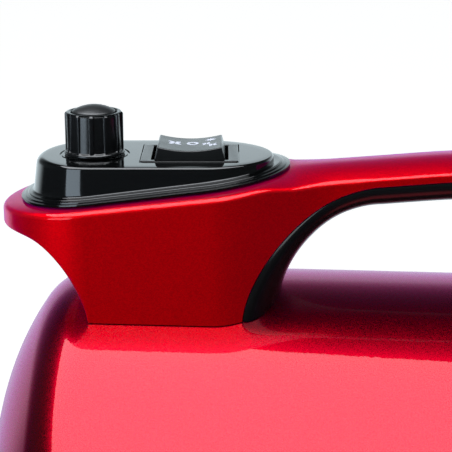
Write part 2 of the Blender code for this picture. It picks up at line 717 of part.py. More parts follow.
def heat_sink():
    base = block((-131.0, BOARD_Y - 3.3, 189.0), (-115.0, BOARD_Y - GAP, 200.0))
    fins = []
    for index in range(4):
        x = -130.6 + 4.8 * index
        fins.append(block((x, BOARD_Y - 11.0, 189.5), (x + 1.2, BOARD_Y - 3.0, 199.5)))
    join(base, gather(fins))
    return finish(base, "heat_sink", ALUMINIUM, 0.35, 1.0)


def board_capacitor():
    shape = block((-110.0, BOARD_Y - 9.0, 189.0), (-98.0, BOARD_Y - GAP, 199.0))
    return finish(shape, "board_capacitor", AMBER, 0.4)


# ---------------------------------------------------------------- ends of the canister
def hose_collar():
    """Collar for the hose, clamped on the nose by a ring nut inside the canister."""
    gasket_thickness = 1.5
    face = NOSE_X - GAP - gasket_thickness - GAP
    profile = [(21.0, face + 17.0), (24.0, face + 17.0), (24.0, face), (35.0, face), (35.0, face - 2.6),
               (33.8, face - 3.8), (27.6, face - 4.2), (26.4, face - 6.0), (25.6, COLLAR_TIP_X + 8.0),
               (26.6, COLLAR_TIP_X + 6.4), (26.6, COLLAR_TIP_X + 1.0), (25.6, COLLAR_TIP_X),
               (22.6, COLLAR_TIP_X)]
    finish(turned(profile, AXIS_POINT, 'X', 24), "hose_collar", BLACK, 0.3)
    gasket = ring_profile(25.0, 34.4, NOSE_X - GAP - gasket_thickness, NOSE_X - GAP)
    finish(turned(gasket, AXIS_POINT, 'X', 24), "collar_gasket", RUBBER, 0.85)
    start = NOSE_X + CANISTER_WALL + 1.2
    nut = ring_profile(24.4, 30.0, start, start + 6.0)
    finish(turned(nut, AXIS_POINT, 'X', 24), "collar_nut", BLACK, 0.4)


def rear_bezel():
    start = CANISTER_END_X
    end = BEZEL_END_X
    rim = canister_radius(start)
    profile = [(79.4, start - 12.0), (79.4, start + GAP), (rim, start + GAP), (rim - 0.7, end - 9.0)]
    profile += arc((rim - 9.7, end - 9.0), 9.0, 30.0, 90.0, 2)
    profile += [(BEZEL_BORE, end), (BEZEL_BORE, end - 28.0), (52.0, end - 28.0),
                (52.0, end - 31.0), (60.4, end - 31.0), (60.4, end - 3.0), (rim - 11.0, end - 3.0),
                (rim - 3.6, end - 10.0), (76.6, start), (76.6, start - 12.0)]
    bezel = turned(profile, AXIS_POINT, 'X', CANISTER_SEGMENTS)
    cut(bezel, rod(6.2, (end - 6.0, 0.0, AXIS_Z - GLAND_RADIUS_FROM_AXIS), 10.0, 'X', 20))
    finish(bezel, "rear_bezel", BLACK, 0.35, 0.0, 28.0)

    profile = [(4.2, -10.0), (5.8, -10.0), (5.8, GAP), (7.2, GAP), (7.2, 3.0),
               (6.4, 4.0), (5.7, 14.0), (4.2, 14.0)]
    gland = turned(profile, (end, 0.0, AXIS_Z - GLAND_RADIUS_FROM_AXIS), 'X', 14)
    finish(gland, "cord_gland", RUBBER, 0.7)


def filter_set():
    end = BEZEL_END_X
    foam = turned([(0.0, end - 27.7), (57.2, end - 27.7), (57.2, end - 18.0), (0.0, end - 18.0)],
                  AXIS_POINT, 'X', 24)
    finish(foam, "filter_foam", FOAM, 0.95)

    rim = BEZEL_BORE - 0.5
    profile = [(0.0, end), (rim - 2.2, end), (rim - 2.2, end - 17.6), (rim, end - 17.6), (rim, end + 0.8),
               (rim - 1.8, end + 2.6), (0.0, end + 2.6)]
    cover = turned(profile, AXIS_POINT, 'X', 28)
    slots = []
    slot_count = 7
    slot_pitch = 12.6
    slot_half = 3.0
    grille_radius = 48.0
    for index in range(slot_count):
        y = (index - (slot_count - 1) / 2.0) * slot_pitch
        reach = math.sqrt(grille_radius ** 2 - y * y)
        for low, high in ((AXIS_Z - reach, AXIS_Z - 4.0), (AXIS_Z + 4.0, AXIS_Z + reach)):
            slots.append(block((end - 4.0, y - slot_half, low), (end + 8.0, y + slot_half, high)))
    cut(cover, gather(slots))
    grip = block((end + 2.0, -24.0, AXIS_Z - 2.0), (end + 9.0, 24.0, AXIS_Z + 2.0))
    join(cover, grip)
    return finish(cover, "filter_cover", BLACK, 0.4, 0.0, 28.0)


# ---------------------------------------------------------------- feet
def saddle(name, centre_x):
    half = SADDLE_LENGTH / 2.0
    base_z = FOOT_HEIGHT + GAP
    outline = [(-70.5, 43.0), (-58.0, base_z), (58.0, base_z), (70.5, 43.0), (69.5, 47.0), (-69.5, 47.0)]
    shape = extruded(outline, 'X', centre_x - half, centre_x + half)
    tools = []
    for y in (-FOOT_Y, FOOT_Y):
        tools.append(rod(FOOT_STEM_RADIUS + GAP, (centre_x, y, 0.0), 15.0, 'Z', 16))
    bolt_hole = [(0.0, 0.0), (5.4, 0.0), (5.4, 8.0), (2.9, 8.0), (2.9, 30.0), (0.0, 30.0)]
    tools.append(turned(bolt_hole, (centre_x, 0.0, 0.0), 'Z', 16))
    cut(shape, canister_tool(), gather(tools))
    return finish(shape, name, BLACK, 0.45)


def foot(name, x, y):
    """Rubber foot pushed into its saddle by a stem."""
    profile = [(0.0, 0.0), (FOOT_RADIUS - 1.0, 0.0), (FOOT_RADIUS, FOOT_HEIGHT),
               (FOOT_STEM_RADIUS, FOOT_HEIGHT), (FOOT_STEM_RADIUS, 13.5), (0.0, 14.5)]
    finish(turned(profile, (x, y, 0.0), 'Z', 16), name, RUBBER, 0.9)


def saddle_fastener(place, x):
    """Bolt from below each saddle, with its nut inside the canister."""
    bolt = [(0.0, 5.3), (4.4, 5.3), (4.4, 7.6), (2.4, 7.6), (2.4, 22.5), (0.0, 22.5)]
    finish(turned(bolt, (x, 0.0, 0.0), 'Z', 16), "saddle_bolt_" + place, STEEL, 0.3, 1.0)
    seat = AXIS_Z - canister_radius(x) + CANISTER_WALL + 0.7
    nut = turned(ring_profile(2.75, 4.6, seat, seat + 3.2), (x, 0.0, 0.0), 'Z', 6)
    cut(nut, rod(2.8, (x, 0.0, seat - 2.0), 8.0, 'Z', 16))
    finish(nut, "saddle_nut_" + place, STEEL, 0.3, 1.0)


def feet():
    for place, x in zip(("front", "rear"), SADDLE_CENTRES_X):
        saddle(place + "_saddle", x)
        foot("rubber_foot_" + place + "_left", x, -FOOT_Y)
        foot("rubber_foot_" + place + "_right", x, FOOT_Y)
        saddle_fastener(place, x)


# ---------------------------------------------------------------- fan and motor
def impeller(name, low):
    """Closed fan wheel: two plates, a hub and backward-curved blades between them."""
    bore = SHAFT_RADIUS + GAP
    back = [(bore, low), (IMPELLER_RADIUS, low), (IMPELLER_RADIUS, low + 1.2), (9.0, low + 1.2),
            (9.0, low + 11.2), (bore, low + 11.2)]
    wheel = turned(back, AXIS_POINT, 'X', 24)
    front = turned(ring_profile(20.0, IMPELLER_RADIUS, low + 10.0, low + 11.2), AXIS_POINT, 'X', 24)
    blade_count = 7
    blades = [fan_blade(low + 0.6, low + 10.6, 360.0 * index / blade_count) for index in range(blade_count)]
    join(front, gather(blades))
    join(wheel, front)
    wheel.data.transform(Matrix.Translation((0.0, 0.0, -AXIS_Z * MM)))
    wheel.location = (0.0, 0.0, AXIS_Z * MM)
    return finish(wheel, name, ALUMINIUM, 0.35, 1.0, 30.0)


def fan_blade(low, high, start_angle):
    steps = 3
    thickness = 1.2
    forward, backward = [], []
    for step in range(steps + 1):
        share = step / steps
        radius = mix(22.0, IMPELLER_RADIUS - 1.5, share)
        turn = math.radians(start_angle - 48.0 * share)
        lean = thickness / radius
        forward.append((radius * math.cos(turn + lean), AXIS_Z + radius * math.sin(turn + lean)))
        backward.append((radius * math.cos(turn), AXIS_Z + radius * math.sin(turn)))
    return extruded(forward + backward[::-1], 'X', low, high)


def fan_housing():
    profile = [(22.0, 64.0), (22.0, 62.4), (FAN_RADIUS - 3.0, 62.4), (FAN_RADIUS - 1.6, 61.0),
               (FAN_RADIUS - 1.6, 11.0), (FAN_RADIUS, 11.0), (FAN_RADIUS, 62.0), (FAN_RADIUS - 2.0, 64.0)]
    cover = turned(profile, AXIS_POINT, 'X', 32)
    finish(cover, "fan_cover", STEEL, 0.35, 1.0, 30.0)

    base = turned([(11.4, 10.0), (11.4, 18.4), (13.0, 18.4), (13.0, 10.6), (FAN_RADIUS - 2.2, 10.6),
                   (FAN_RADIUS - 2.2, 8.6), (9.0, 8.6), (9.0, 10.0)], AXIS_POINT, 'X', 24)
    windows = []
    for index in range(4):
        windows.append(window_wedge(22.0, 44.0, 90.0 * index + 10.0, 90.0 * index + 80.0, 5.0, 14.0, 3))
    cut(base, gather(windows))
    finish(base, "fan_base", ALUMINIUM, 0.4, 1.0, 30.0)

    diffuser = turned([(14.0, 36.0), (FAN_RADIUS - 6.0, 36.0), (FAN_RADIUS - 6.0, 38.0), (14.0, 38.0)],
                      AXIS_POINT, 'X', 28)
    vanes = [fan_vane(37.5, 43.0, 60.0 * index) for index in range(6)]
    join(diffuser, gather(vanes))
    finish(diffuser, "stage_diffuser", ALUMINIUM, 0.4, 1.0, 30.0)


def window_wedge(inner, outer, start, end, low, high, steps=4):
    """Solid sector used to open a window in a turned plate."""
    far = [(y, AXIS_Z + z) for y, z in arc((0.0, 0.0), outer, start, end, steps)]
    near = [(y, AXIS_Z + z) for y, z in arc((0.0, 0.0), inner, end, start, steps)]
    return extruded(far + near, 'X', low, high)


def fan_vane(low, high, start_angle):
    forward, backward = [], []
    for share in (0.0, 0.5, 1.0):
        radius = mix(26.0, FAN_RADIUS - 7.0, share)
        turn = math.radians(start_angle + 38.0 * share)
        lean = 1.4 / radius
        forward.append((radius * math.cos(turn + lean), AXIS_Z + radius * math.sin(turn + lean)))
        backward.append((radius * math.cos(turn), AXIS_Z + radius * math.sin(turn)))
    return extruded(forward + backward[::-1], 'X', low, high)


def rotor_parts():
    shaft = rod(SHAFT_RADIUS, (-85.0, 0.0, AXIS_Z), 147.0, 'X', 16, AXIS_POINT)
    finish(shaft, "rotor_shaft", STEEL, 0.25, 1.0)
    impeller("impeller_second", 22.0)
    impeller("impeller_first", 46.0)
    bore = SHAFT_RADIUS + GAP
    armature = turned([(bore, -44.0), (15.0, -44.0), (22.4, -42.0), (22.4, -6.0), (15.0, -4.0), (bore, -4.0)],
                      AXIS_POINT, 'X', 24, AXIS_POINT)
    slots = []
    for index in range(8):
        slots.append(window_wedge(19.5, 26.0, 45.0 * index, 45.0 * index + 12.0, -50.0, 4.0, 1))
    cut(armature, gather(slots))
    finish(armature, "armature_core", COPPER, 0.4, 0.9)
    commutator = turned(ring_profile(bore, 12.0, -64.0, -50.0), AXIS_POINT, 'X', 24, AXIS_POINT)
    slots = []
    for index in range(8):
        slots.append(window_wedge(11.0, 14.0, 45.0 * index, 45.0 * index + 6.0, -66.0, -52.0, 1))
    cut(commutator, gather(slots))
    finish(commutator, "commutator", COPPER, 0.3, 1.0)
    nut = turned(ring_profile(4.2, 7.0, 57.6, 61.6), AXIS_POINT, 'X', 6, AXIS_POINT)
    cut(nut, rod(bore, (50.0, 0.0, AXIS_Z), 20.0, 'X', 20))
    finish(nut, "shaft_nut", STEEL, 0.3, 1.0)


def motor_parts():
    frame = turned(ring_profile(FRAME_RADIUS - 2.0, FRAME_RADIUS, -66.0, 8.2), AXIS_POINT, 'X', 32)
    windows = []
    for index in range(4):
        windows.append(window_wedge(44.0, 56.0, 90.0 * index + 20.0, 90.0 * index + 70.0, -62.0, -50.0))
    cut(frame, gather(windows))
    finish(frame, "motor_frame", STEEL, 0.4, 1.0, 30.0)

    stator = turned(ring_profile(41.0, 48.0, -46.0, -2.0), AXIS_POINT, 'X', 28)
    poles = []
    for flip in (1.0, -1.0):
        shoe = arc((0.0, 0.0), 30.0, 40.0, 140.0, 5) + arc((0.0, 0.0), 24.0, 140.0, 40.0, 5)
        poles.append(extruded([(y, AXIS_Z + flip * z) for y, z in shoe], 'X', -46.0, -2.0))
        neck = [(-11.5, 29.0), (11.5, 29.0), (11.5, 42.0), (-11.5, 42.0)]
        poles.append(extruded([(y, AXIS_Z + flip * z) for y, z in neck], 'X', -46.0, -2.0))
    for pole in poles:
        join(stator, pole)
    finish(stator, "stator_core", STEEL, 0.5, 0.9)

    for name, flip in (("field_coil_upper", 1.0), ("field_coil_lower", -1.0)):
        low, high = sorted((AXIS_Z + flip * 31.0, AXIS_Z + flip * 35.4))
        coil = block((-52.0, -19.0, low), (4.0, 19.0, high))
        cut(coil, block((-46.5, -12.1, low - 5.0), (-1.5, 12.1, high + 5.0)))
        finish(coil, name, COPPER, 0.45, 0.8)

    bearing = ring_profile(SHAFT_RADIUS + GAP, 11.0, 10.4, 18.0)
    finish(turned(bearing, AXIS_POINT, 'X', 24), "drive_bearing", STEEL, 0.2, 1.0)
    bearing = ring_profile(SHAFT_RADIUS + GAP, 11.0, -82.0, -74.6)
    finish(turned(bearing, AXIS_POINT, 'X', 24), "tail_bearing", STEEL, 0.2, 1.0)

    bracket = turned([(11.4, -74.3), (14.0, -74.3), (14.0, -82.0), (11.4, -82.0)], AXIS_POINT, 'X', 16)
    arms = block((-74.5, -7.0, AXIS_Z - 50.0), (-71.0, 7.0, AXIS_Z + 50.0))
    join(arms, block((-74.5, -50.0, AXIS_Z - 7.0), (-71.0, 50.0, AXIS_Z + 7.0)))
    join(arms, turned(ring_profile(45.0, FRAME_RADIUS, -74.5, -66.3), AXIS_POINT, 'X', 24))
    join(arms, bracket)
    cut(arms, rod(6.0, (-80.0, 0.0, AXIS_Z), 20.0, 'X', 20))
    finish(arms, "tail_bracket", ALUMINIUM, 0.4, 1.0, 30.0)

    yoke = turned(ring_profile(40.0, FRAME_RADIUS - 2.4, -61.5, -52.5), AXIS_POINT, 'X', 28)
    join(yoke, block((-61.5, -41.0, AXIS_Z - 4.6), (-52.5, -14.0, AXIS_Z + 4.6)))
    join(yoke, block((-61.5, 14.0, AXIS_Z - 4.6), (-52.5, 41.0, AXIS_Z + 4.6)))
    cut(yoke, block((-60.3, -38.0, AXIS_Z - 3.4), (-53.7, 38.0, AXIS_Z + 3.4)))
    finish(yoke, "brush_yoke", BRASS, 0.35, 1.0)
    for name, low, high in (("carbon_brush_left", -28.0, -12.35), ("carbon_brush_right", 12.35, 28.0)):
        finish(block((-60.0, low, AXIS_Z - 3.1), (-54.0, high, AXIS_Z + 3.1)), name, CARBON, 0.7)


def motor_mounts():
    ring = turned(ring_profile(FAN_RADIUS + GAP, 82.6, 24.0, 36.0), AXIS_POINT, 'X', 32)
    finish(ring, "motor_ring_mount", RUBBER, 0.9)

    spider = turned(ring_profile(FRAME_RADIUS + GAP, 54.4, -34.0, -24.0), AXIS_POINT, 'X', 32)
    lift = Matrix.Translation((0.0, 0.0, AXIS_Z * MM))
    for angle in (90.0, 210.0, 330.0):
        arm = block((-33.0, 53.0, -6.0), (-25.0, 83.5, 6.0))
        arm.data.transform(lift @ Matrix.Rotation(math.radians(angle), 4, 'X'))
        join(spider, arm)
    finish(spider, "tail_mount", RUBBER, 0.9)

    wall = canister_radius(84.0) - CANISTER_WALL - 0.4
    profile = [(26.0, 69.0), (wall, 69.0), (wall, 79.0), (wall - 2.4, 79.0), (wall - 2.4, 71.6),
               (26.0, 71.6)]
    bulkhead = turned(profile, AXIS_POINT, 'X', 36)
    finish(bulkhead, "inlet_bulkhead", BLACK, 0.5, 0.0, 30.0)


# ---------------------------------------------------------------- heater
def heater():
    frame = block((-146.0, -30.0, AXIS_Z - 0.6), (-92.0, 30.0, AXIS_Z + 0.6))
    join(frame, block((-146.0, -0.6, AXIS_Z - 30.0), (-92.0, 0.6, AXIS_Z + 30.0)))
    for x in (-146.0, -95.0):
        for turn in (0.0, 90.0):
            tab = block((x, 29.0, -0.6), (x + 3.0, 40.6, 0.6))
            other = block((x, -40.6, -0.6), (x + 3.0, -29.0, 0.6))
            for piece in (tab, other):
                lift = Matrix.Translation((0.0, 0.0, AXIS_Z * MM))
                piece.data.transform(lift @ Matrix.Rotation(math.radians(turn), 4, 'X'))
                join(frame, piece)
    finish(frame, "heater_frame", MICA, 0.6)

    turns, per_turn, sides, wire = 5, 10, 4, 1.0
    start, end, radius = -139.0, -99.0, 33.0
    rings = []
    for step in range(turns * per_turn + 1):
        angle = 2.0 * math.pi * step / per_turn
        x = mix(start, end, step / (turns * per_turn))
        ring = []
        for corner in range(sides):
            phase = 2.0 * math.pi * corner / sides
            reach = radius + wire * math.cos(phase)
            along = x + wire * math.sin(phase)
            ring.append((along, reach * math.cos(angle), AXIS_Z + reach * math.sin(angle)))
        rings.append(ring)
    finish(lofted(rings), "heater_coil", (0.45, 0.42, 0.40, 1.0), 0.4, 1.0)

    cutout = block((-116.0, 6.0, AXIS_Z + 0.9), (-104.0, 17.0, AXIS_Z + 6.0))
    finish(cutout, "thermal_cutout", IVORY, 0.5)


def main():
    for old in list(bpy.data.objects):
        bpy.data.objects.remove(old)
    canister_shell()
    handle_shell()
    handle_liner()
    handle_screws()
    wiring_grommet()
    control_pod()
    rocker_housing()
    rocker_actuator()
    knob()
    knob_cap()
    potentiometer()
    control_board()
    heat_sink()
    board_capacitor()
    hose_collar()
    rear_bezel()
    filter_set()
    feet()
    fan_housing()
    rotor_parts()
    motor_parts()
    motor_mounts()
    heater()


main()
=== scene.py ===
"""Looks of the canister blower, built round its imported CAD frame.

Lengths are in millimetres unless a name ends in _M, as in the part's source: X runs from the hose
outlet to the air filter, Y across and Z up from the floor. piece() turns them into metres.
"""
import json
import math
from math import cos, hypot, pi, radians, sin, sqrt

import bmesh
import bpy
from mathutils import Matrix, Vector


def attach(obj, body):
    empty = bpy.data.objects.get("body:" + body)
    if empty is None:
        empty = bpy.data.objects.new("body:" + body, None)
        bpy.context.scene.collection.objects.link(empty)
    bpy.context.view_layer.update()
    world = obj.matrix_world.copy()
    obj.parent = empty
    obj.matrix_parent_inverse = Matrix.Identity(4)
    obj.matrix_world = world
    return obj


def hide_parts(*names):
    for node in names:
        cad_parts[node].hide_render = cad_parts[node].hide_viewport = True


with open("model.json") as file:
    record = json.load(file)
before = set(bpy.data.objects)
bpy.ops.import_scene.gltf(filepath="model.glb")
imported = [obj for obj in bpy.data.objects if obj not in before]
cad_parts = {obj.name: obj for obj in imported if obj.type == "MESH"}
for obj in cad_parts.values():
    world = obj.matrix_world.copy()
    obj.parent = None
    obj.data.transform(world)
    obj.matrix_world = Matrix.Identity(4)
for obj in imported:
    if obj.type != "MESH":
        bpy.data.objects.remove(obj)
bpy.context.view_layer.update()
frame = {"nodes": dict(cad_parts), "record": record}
MM = 0.001
GAP = 0.3

# ---- shapes shared with the CAD part
AXIS_Z = 98.0
AXIS_POINT = (0.0, 0.0, AXIS_Z)
CANISTER_RADIUS = 88.0
CANISTER_WALL = 1.6
CANISTER_SEGMENTS = 192
SHOULDER_X = -140.0
SHOULDER_RADIUS = 20.0
SHOULDER_TURN = radians(55.0)
DOME_RADIUS = 90.0
OUTLET_RADIUS = 24.5
TAPER_X = -88.0
TAPER_SLOPE = 0.0255
CANISTER_END_X = 154.0
NOSE_X = SHOULDER_X + (DOME_RADIUS - SHOULDER_RADIUS) * sin(SHOULDER_TURN) - DOME_RADIUS

DECK_Z = 215.07
DECK_X = -162.36
DECK_SLOPE = 0.1183
TIP_X = -168.2
PLAN_X = -138.0
HANDLE_END_X = 120.0
NECK_HALF_WIDTH = 29.0
NECK_WIDENING = 1.4
BAR_HALF_WIDTH = 15.0
POST_WIDENING = 6.0
POST_WIDENING_LENGTH = 45.0
NARROWING_X = -100.0
NARROWING_LENGTH = 40.0
POST_ROUND_LENGTH = 17.0
POST_ROUND_X = HANDLE_END_X - POST_ROUND_LENGTH
CROWN_START_X = -88.0
CROWN_FULL_X = -73.0
DECK_DROP = 1.0
DECK_POWER = 8.0
CROWN_DROP = 3.4
CROWN_POWER = 2.0
CROWN_LINE = [(-74.5, 225.46), (-49.0, 227.27), (-23.0, 229.10), (14.0, 230.3), (49.0, 228.0),
              (79.0, 217.3), (102.0, 201.5), (HANDLE_END_X, 178.0)]
FOOT_LINE_Z = 181.0
BURIED_Z = 173.0
FLANGE_FLOOR_Z = 207.8
SWEEP_CENTRE = (-168.0, 169.0)
SWEEP_RADII = (30.5, 41.0)
NECK_FOOT_X = -137.65
OPENING_FRONT_X = -46.0
OPENING_REAR_X = 52.0
PARTING_FRONT_REACH = 45.0
PARTING_REAR_REACH = 46.0
PARTING_POWER = 1.7
GRIP_FRONT_REACH = 32.0
GRIP_REAR_REACH = 30.0
GRIP_POWER = 1.9
PARTING_DEPTH = 6.0
LINER_DEPTH = 8.6
LINER_WALL = 2.2
TOP_EDGE_RADIUS = 1.8
FLANGE_EDGE_RADIUS = 0.75
PARTING_EDGE_RADIUS = 0.3

POD_TOP_Z = 229.0
POD_WALL_Z = 226.8
POD_LEFT_X = -137.5
POD_RIGHT_X = -104.0
POD_LEFT_REACH = 18.5
POD_RIGHT_REACH = 22.5
POD_HALF_WIDTH = 19.5
POD_DRAFT_ANGLE = 7.5
POD_DRAFT = math.tan(radians(POD_DRAFT_ANGLE))
POD_LIP = 6.2
POD_LIP_EDGES = (0.06, 0.10, 0.30)
POD_FIRST_STEP = 1.05
POD_STEP_HEIGHT = 0.48
POD_STEP_LENGTH = 1.10
POD_RIM_RADIUS = 0.8
POD_TIP_RIM_RADIUS = 2.6
POD_WALL = 2.3
POD_CEILING = 2.5
BELOW_POD_Z = 215.0
ABOVE_POD_Z = 235.0

ROCKER_X = -107.5
ROCKER_BEZEL = (31.0, 25.6)
ROCKER_HOUSING = (27.8, 22.8)
ROCKER_OPENING = (24.4, 20.9)
ROCKER_SPLIT_Z = 226.0
SWITCH_FOOT_Z = 210.0
SWITCH_WELL_Z = 213.5
ACTUATOR_TOP_REACH = 10.1
ACTUATOR_BASE_REACH = 11.4
ACTUATOR_TOP_HALF = 9.6
ACTUATOR_BASE_HALF = 10.05
SADDLE_HEIGHT = 2.9
SADDLE_DEPTH = 1.3
PRINT_LIFT = 0.05
FAN_MARK = ((-5.0, 1.2), 2.6)
OFF_MARK = ((0.75, 1.4), 1.95, 1.15)
SUN_MARK = ((6.5, 4.9), 1.8)
TWIN_FAN_MARKS = (((5.2, -0.3), 1.65), ((7.3, -3.1), 1.65))
KNOB_X = -138.3
KNOB_POINT = (KNOB_X, 0.0, POD_TOP_Z)
KNOB_FLUTES = 12
KNOB_RADIUS = 9.35
KNOB_FLARE = 0.35
DOME_TOP = 16.0
DOME_RISE = 1.85
DOME_EDGE = 6.75

BEZEL_END_X = 194.0
BEZEL_BORE = 58.0
GLAND_FROM_AXIS = 66.9
COLLAR_TIP_X = -208.0
FOOT_HEIGHT = 4.7
FOOT_RADIUS = 11.0
FOOT_PLACES = {"front": -101.0, "rear": 99.0}
FOOT_Y = 45.0
FOOT_STEM_RADIUS = 3.4

# ---- camera, room and lights (metres)
CAMERA_PLACE_M = (-0.096, -0.4251, 0.3265)
CAMERA_PITCH = radians(74.0)
CAMERA_LENS = 107.52
CAMERA_SENSOR = 36.0
FLOOR_RADIUS_M = 9.0
FLOOR_GLOW = 0.92
BACKDROP_TINT = (0.86, 1.0, 1.06)
SUBJECT_M = (-0.13, 0.0, 0.20)
OVERHEAD_PLACE_M = (-0.23, -0.54, 1.45)
OVERHEAD_SIZE_M = (2.36, 1.73)
OVERHEAD_TURN = radians(-24.0)
OVERHEAD_RADIANCE = 6.0
OVERHEAD_TINT = (0.96, 1.0, 1.05)
SIDE_SIZE_M = (0.62, 0.54)
SIDE_RADIANCE = 4.0
SIDE_TINT = (0.72, 0.87, 1.0)
KEY_SIZE_M = (0.8, 0.8)
KEY_RADIANCE = 5.2
KEY_TINT = (1.0, 0.98, 0.95)
# Brightness of the surroundings by elevation in degrees, behind the subject and in front of it.
BACK_STOPS = [(-90.0, 0.25), (-40.0, 0.5), (-12.0, 1.3), (0.0, 1.4), (5.0, 1.4), (10.0, 1.35),
              (15.0, 1.2), (19.0, 0.6), (24.0, 0.24), (30.0, 0.13), (35.0, 0.08), (40.0, 0.05),
              (45.0, 0.02), (50.0, 0.008), (90.0, 0.008)]
FRONT_STOPS = [(-90.0, 0.25), (-50.0, 0.06), (-30.0, 0.015), (-10.0, 0.015), (0.0, 0.08),
               (20.0, 0.10), (50.0, 0.05), (90.0, 0.02)]
LEFTWARD_LIFT = 15.0
CANISTER_COAT = 0.44
HANDLE_COAT = 0.5
PEARL_TINT = (0.45, 0.0, 1.0)


# ---- shader nodes
def set_socket(tree, socket, value):
    """Link an output, or set a value; colours are given as red, green, blue."""
    if isinstance(value, bpy.types.NodeSocket):
        tree.links.new(value, socket)
    elif socket.type == 'RGBA':
        socket.default_value = (*value, 1.0)
    else:
        socket.default_value = value


def add_node(tree, kind, inputs, **settings):
    """A node with its settings made first, then its inputs by name or by number."""
    node = tree.nodes.new("ShaderNode" + kind)
    for name, value in settings.items():
        setattr(node, name, value)
    for name, value in inputs.items():
        set_socket(tree, node.inputs[name], value)
    return node


def math_node(tree, operation, first, second=0.0):
    return add_node(tree, "Math", {0: first, 1: second}, operation=operation).outputs[0]


def map_range(tree, value, low, high, new_low=0.0, new_high=1.0, smooth=False):
    inputs = {"Value": value, "From Min": low, "From Max": high, "To Min": new_low, "To Max": new_high}
    kind = 'SMOOTHSTEP' if smooth else 'LINEAR'
    return add_node(tree, "MapRange", inputs, interpolation_type=kind).outputs["Result"]


def stretched(tree, place, scale):
    return add_node(tree, "Mapping", {"Vector": place, "Scale": scale}).outputs["Vector"]


def millimetres(tree):
    """The piece's own coordinates in millimetres."""
    place = add_node(tree, "TexCoord", {}).outputs["Object"]
    return stretched(tree, place, (1.0 / MM,) * 3)


def noise(tree, place, scale, detail=2.0, roughness=0.5):
    inputs = {"Vector": place, "Scale": scale, "Detail": detail, "Roughness": roughness}
    return add_node(tree, "TexNoise", inputs).outputs["Fac"]


def mix_colour(tree, factor, first, second):
    inputs = {0: factor, 6: first, 7: second}
    return add_node(tree, "Mix", inputs, data_type='RGBA').outputs[2]


def bump(tree, height, strength, distance_mm):
    inputs = {"Height": height, "Strength": strength, "Distance": distance_mm * MM}
    return add_node(tree, "Bump", inputs).outputs["Normal"]


def set_shader(material, **sockets):
    """Values or node outputs for the Principled sockets; names use _ for the spaces."""
    tree = material.node_tree
    shader = tree.nodes["Principled BSDF"]
    for name, value in sockets.items():
        set_socket(tree, shader.inputs[name.replace("_", " ")], value)
    return material


def new_material(name, **sockets):
    material = bpy.data.materials.new(name)
    material.use_nodes = True
    set_shader(material, **sockets)
    return material, material.node_tree


def lighter(tint, factor):
    return tuple(channel * factor for channel in tint)


def enamel(name, coat, flake_share, red, violet, rough, pearl, edge=(1.0, 0.2, 0.8)):
    """Candy enamel: metal flake, a violet pearl sheen and a clear coat with a trace of orange peel."""
    material, tree = new_material(
        name, Metallic=flake_share, Specular_IOR_Level=0.0, Specular_Tint=edge,
        Coat_Weight=coat, Coat_Roughness=0.03, Coat_IOR=1.5,
        Sheen_Weight=pearl, Sheen_Roughness=0.33, Sheen_Tint=PEARL_TINT)
    place = millimetres(tree)
    flakes = add_node(tree, "TexVoronoi", {"Vector": place, "Scale": 3.2}, feature='F1')
    glitter = add_node(tree, "SeparateColor", {"Color": flakes.outputs["Color"]}).outputs
    flake = mix_colour(tree, glitter[0], (0.88 * red, 0.0, 0.8 * violet),
                       (1.12 * red, 0.0, 1.1 * violet))
    depth = map_range(tree, noise(tree, place, 0.045, 3.0), 0.35, 0.65, 0.0, 0.12)
    return set_shader(
        material, Base_Color=mix_colour(tree, depth, flake, (0.75 * red, 0.0, 0.7 * violet)),
        Roughness=map_range(tree, glitter[1], 0.0, 1.0, rough, rough + 0.08),
        Normal=bump(tree, glitter[2], 0.09, 0.05),
        Coat_Normal=bump(tree, noise(tree, place, 0.55, 2.0), 0.05, 0.12))


def gloss_black(name, tint, polish=0.07, grain=0.02, ior=1.55):
    """Injection-moulded gloss plastic with faint flow marks and handling haze."""
    material, tree = new_material(name, IOR=ior)
    place = millimetres(tree)
    flow = noise(tree, stretched(tree, place, (0.02, 0.05, 0.06)), 1.0, 3.0)
    haze = noise(tree, place, 0.12, 5.0, 0.65)
    return set_shader(
        material, Base_Color=mix_colour(tree, flow, tint, lighter(tint, 1.7)),
        Roughness=map_range(tree, haze, 0.35, 0.75, polish, polish + 0.07),
        Normal=bump(tree, noise(tree, place, 0.7, 2.0), grain, 0.1))


def grained_plastic(name, tint, rough=0.42, grain_scale=1.6, grain=0.35):
    """Spark-eroded moulding grain over slightly uneven colour."""
    material, tree = new_material(name, IOR=1.5)
    place = millimetres(tree)
    cloud = noise(tree, place, 0.06, 3.0)
    pits = noise(tree, place, grain_scale, 4.0, 0.6)
    return set_shader(
        material, Base_Color=mix_colour(tree, cloud, tint, lighter(tint, 1.6)),
        Roughness=map_range(tree, pits, 0.3, 0.7, rough, rough + 0.16),
        Normal=bump(tree, pits, grain, 0.12))


def rubber():
    """Dusty moulded rubber."""
    material, tree = new_material("rubber_look", IOR=1.45)
    place = millimetres(tree)
    dust = map_range(tree, noise(tree, place, 0.9, 6.0, 0.7), 0.55, 0.8)
    return set_shader(
        material, Base_Color=mix_colour(tree, dust, (0.012, 0.012, 0.012), (0.05, 0.048, 0.045)),
        Roughness=map_range(tree, dust, 0.0, 1.0, 0.68, 0.9),
        Normal=bump(tree, noise(tree, place, 3.0, 4.0), 0.4, 0.1))


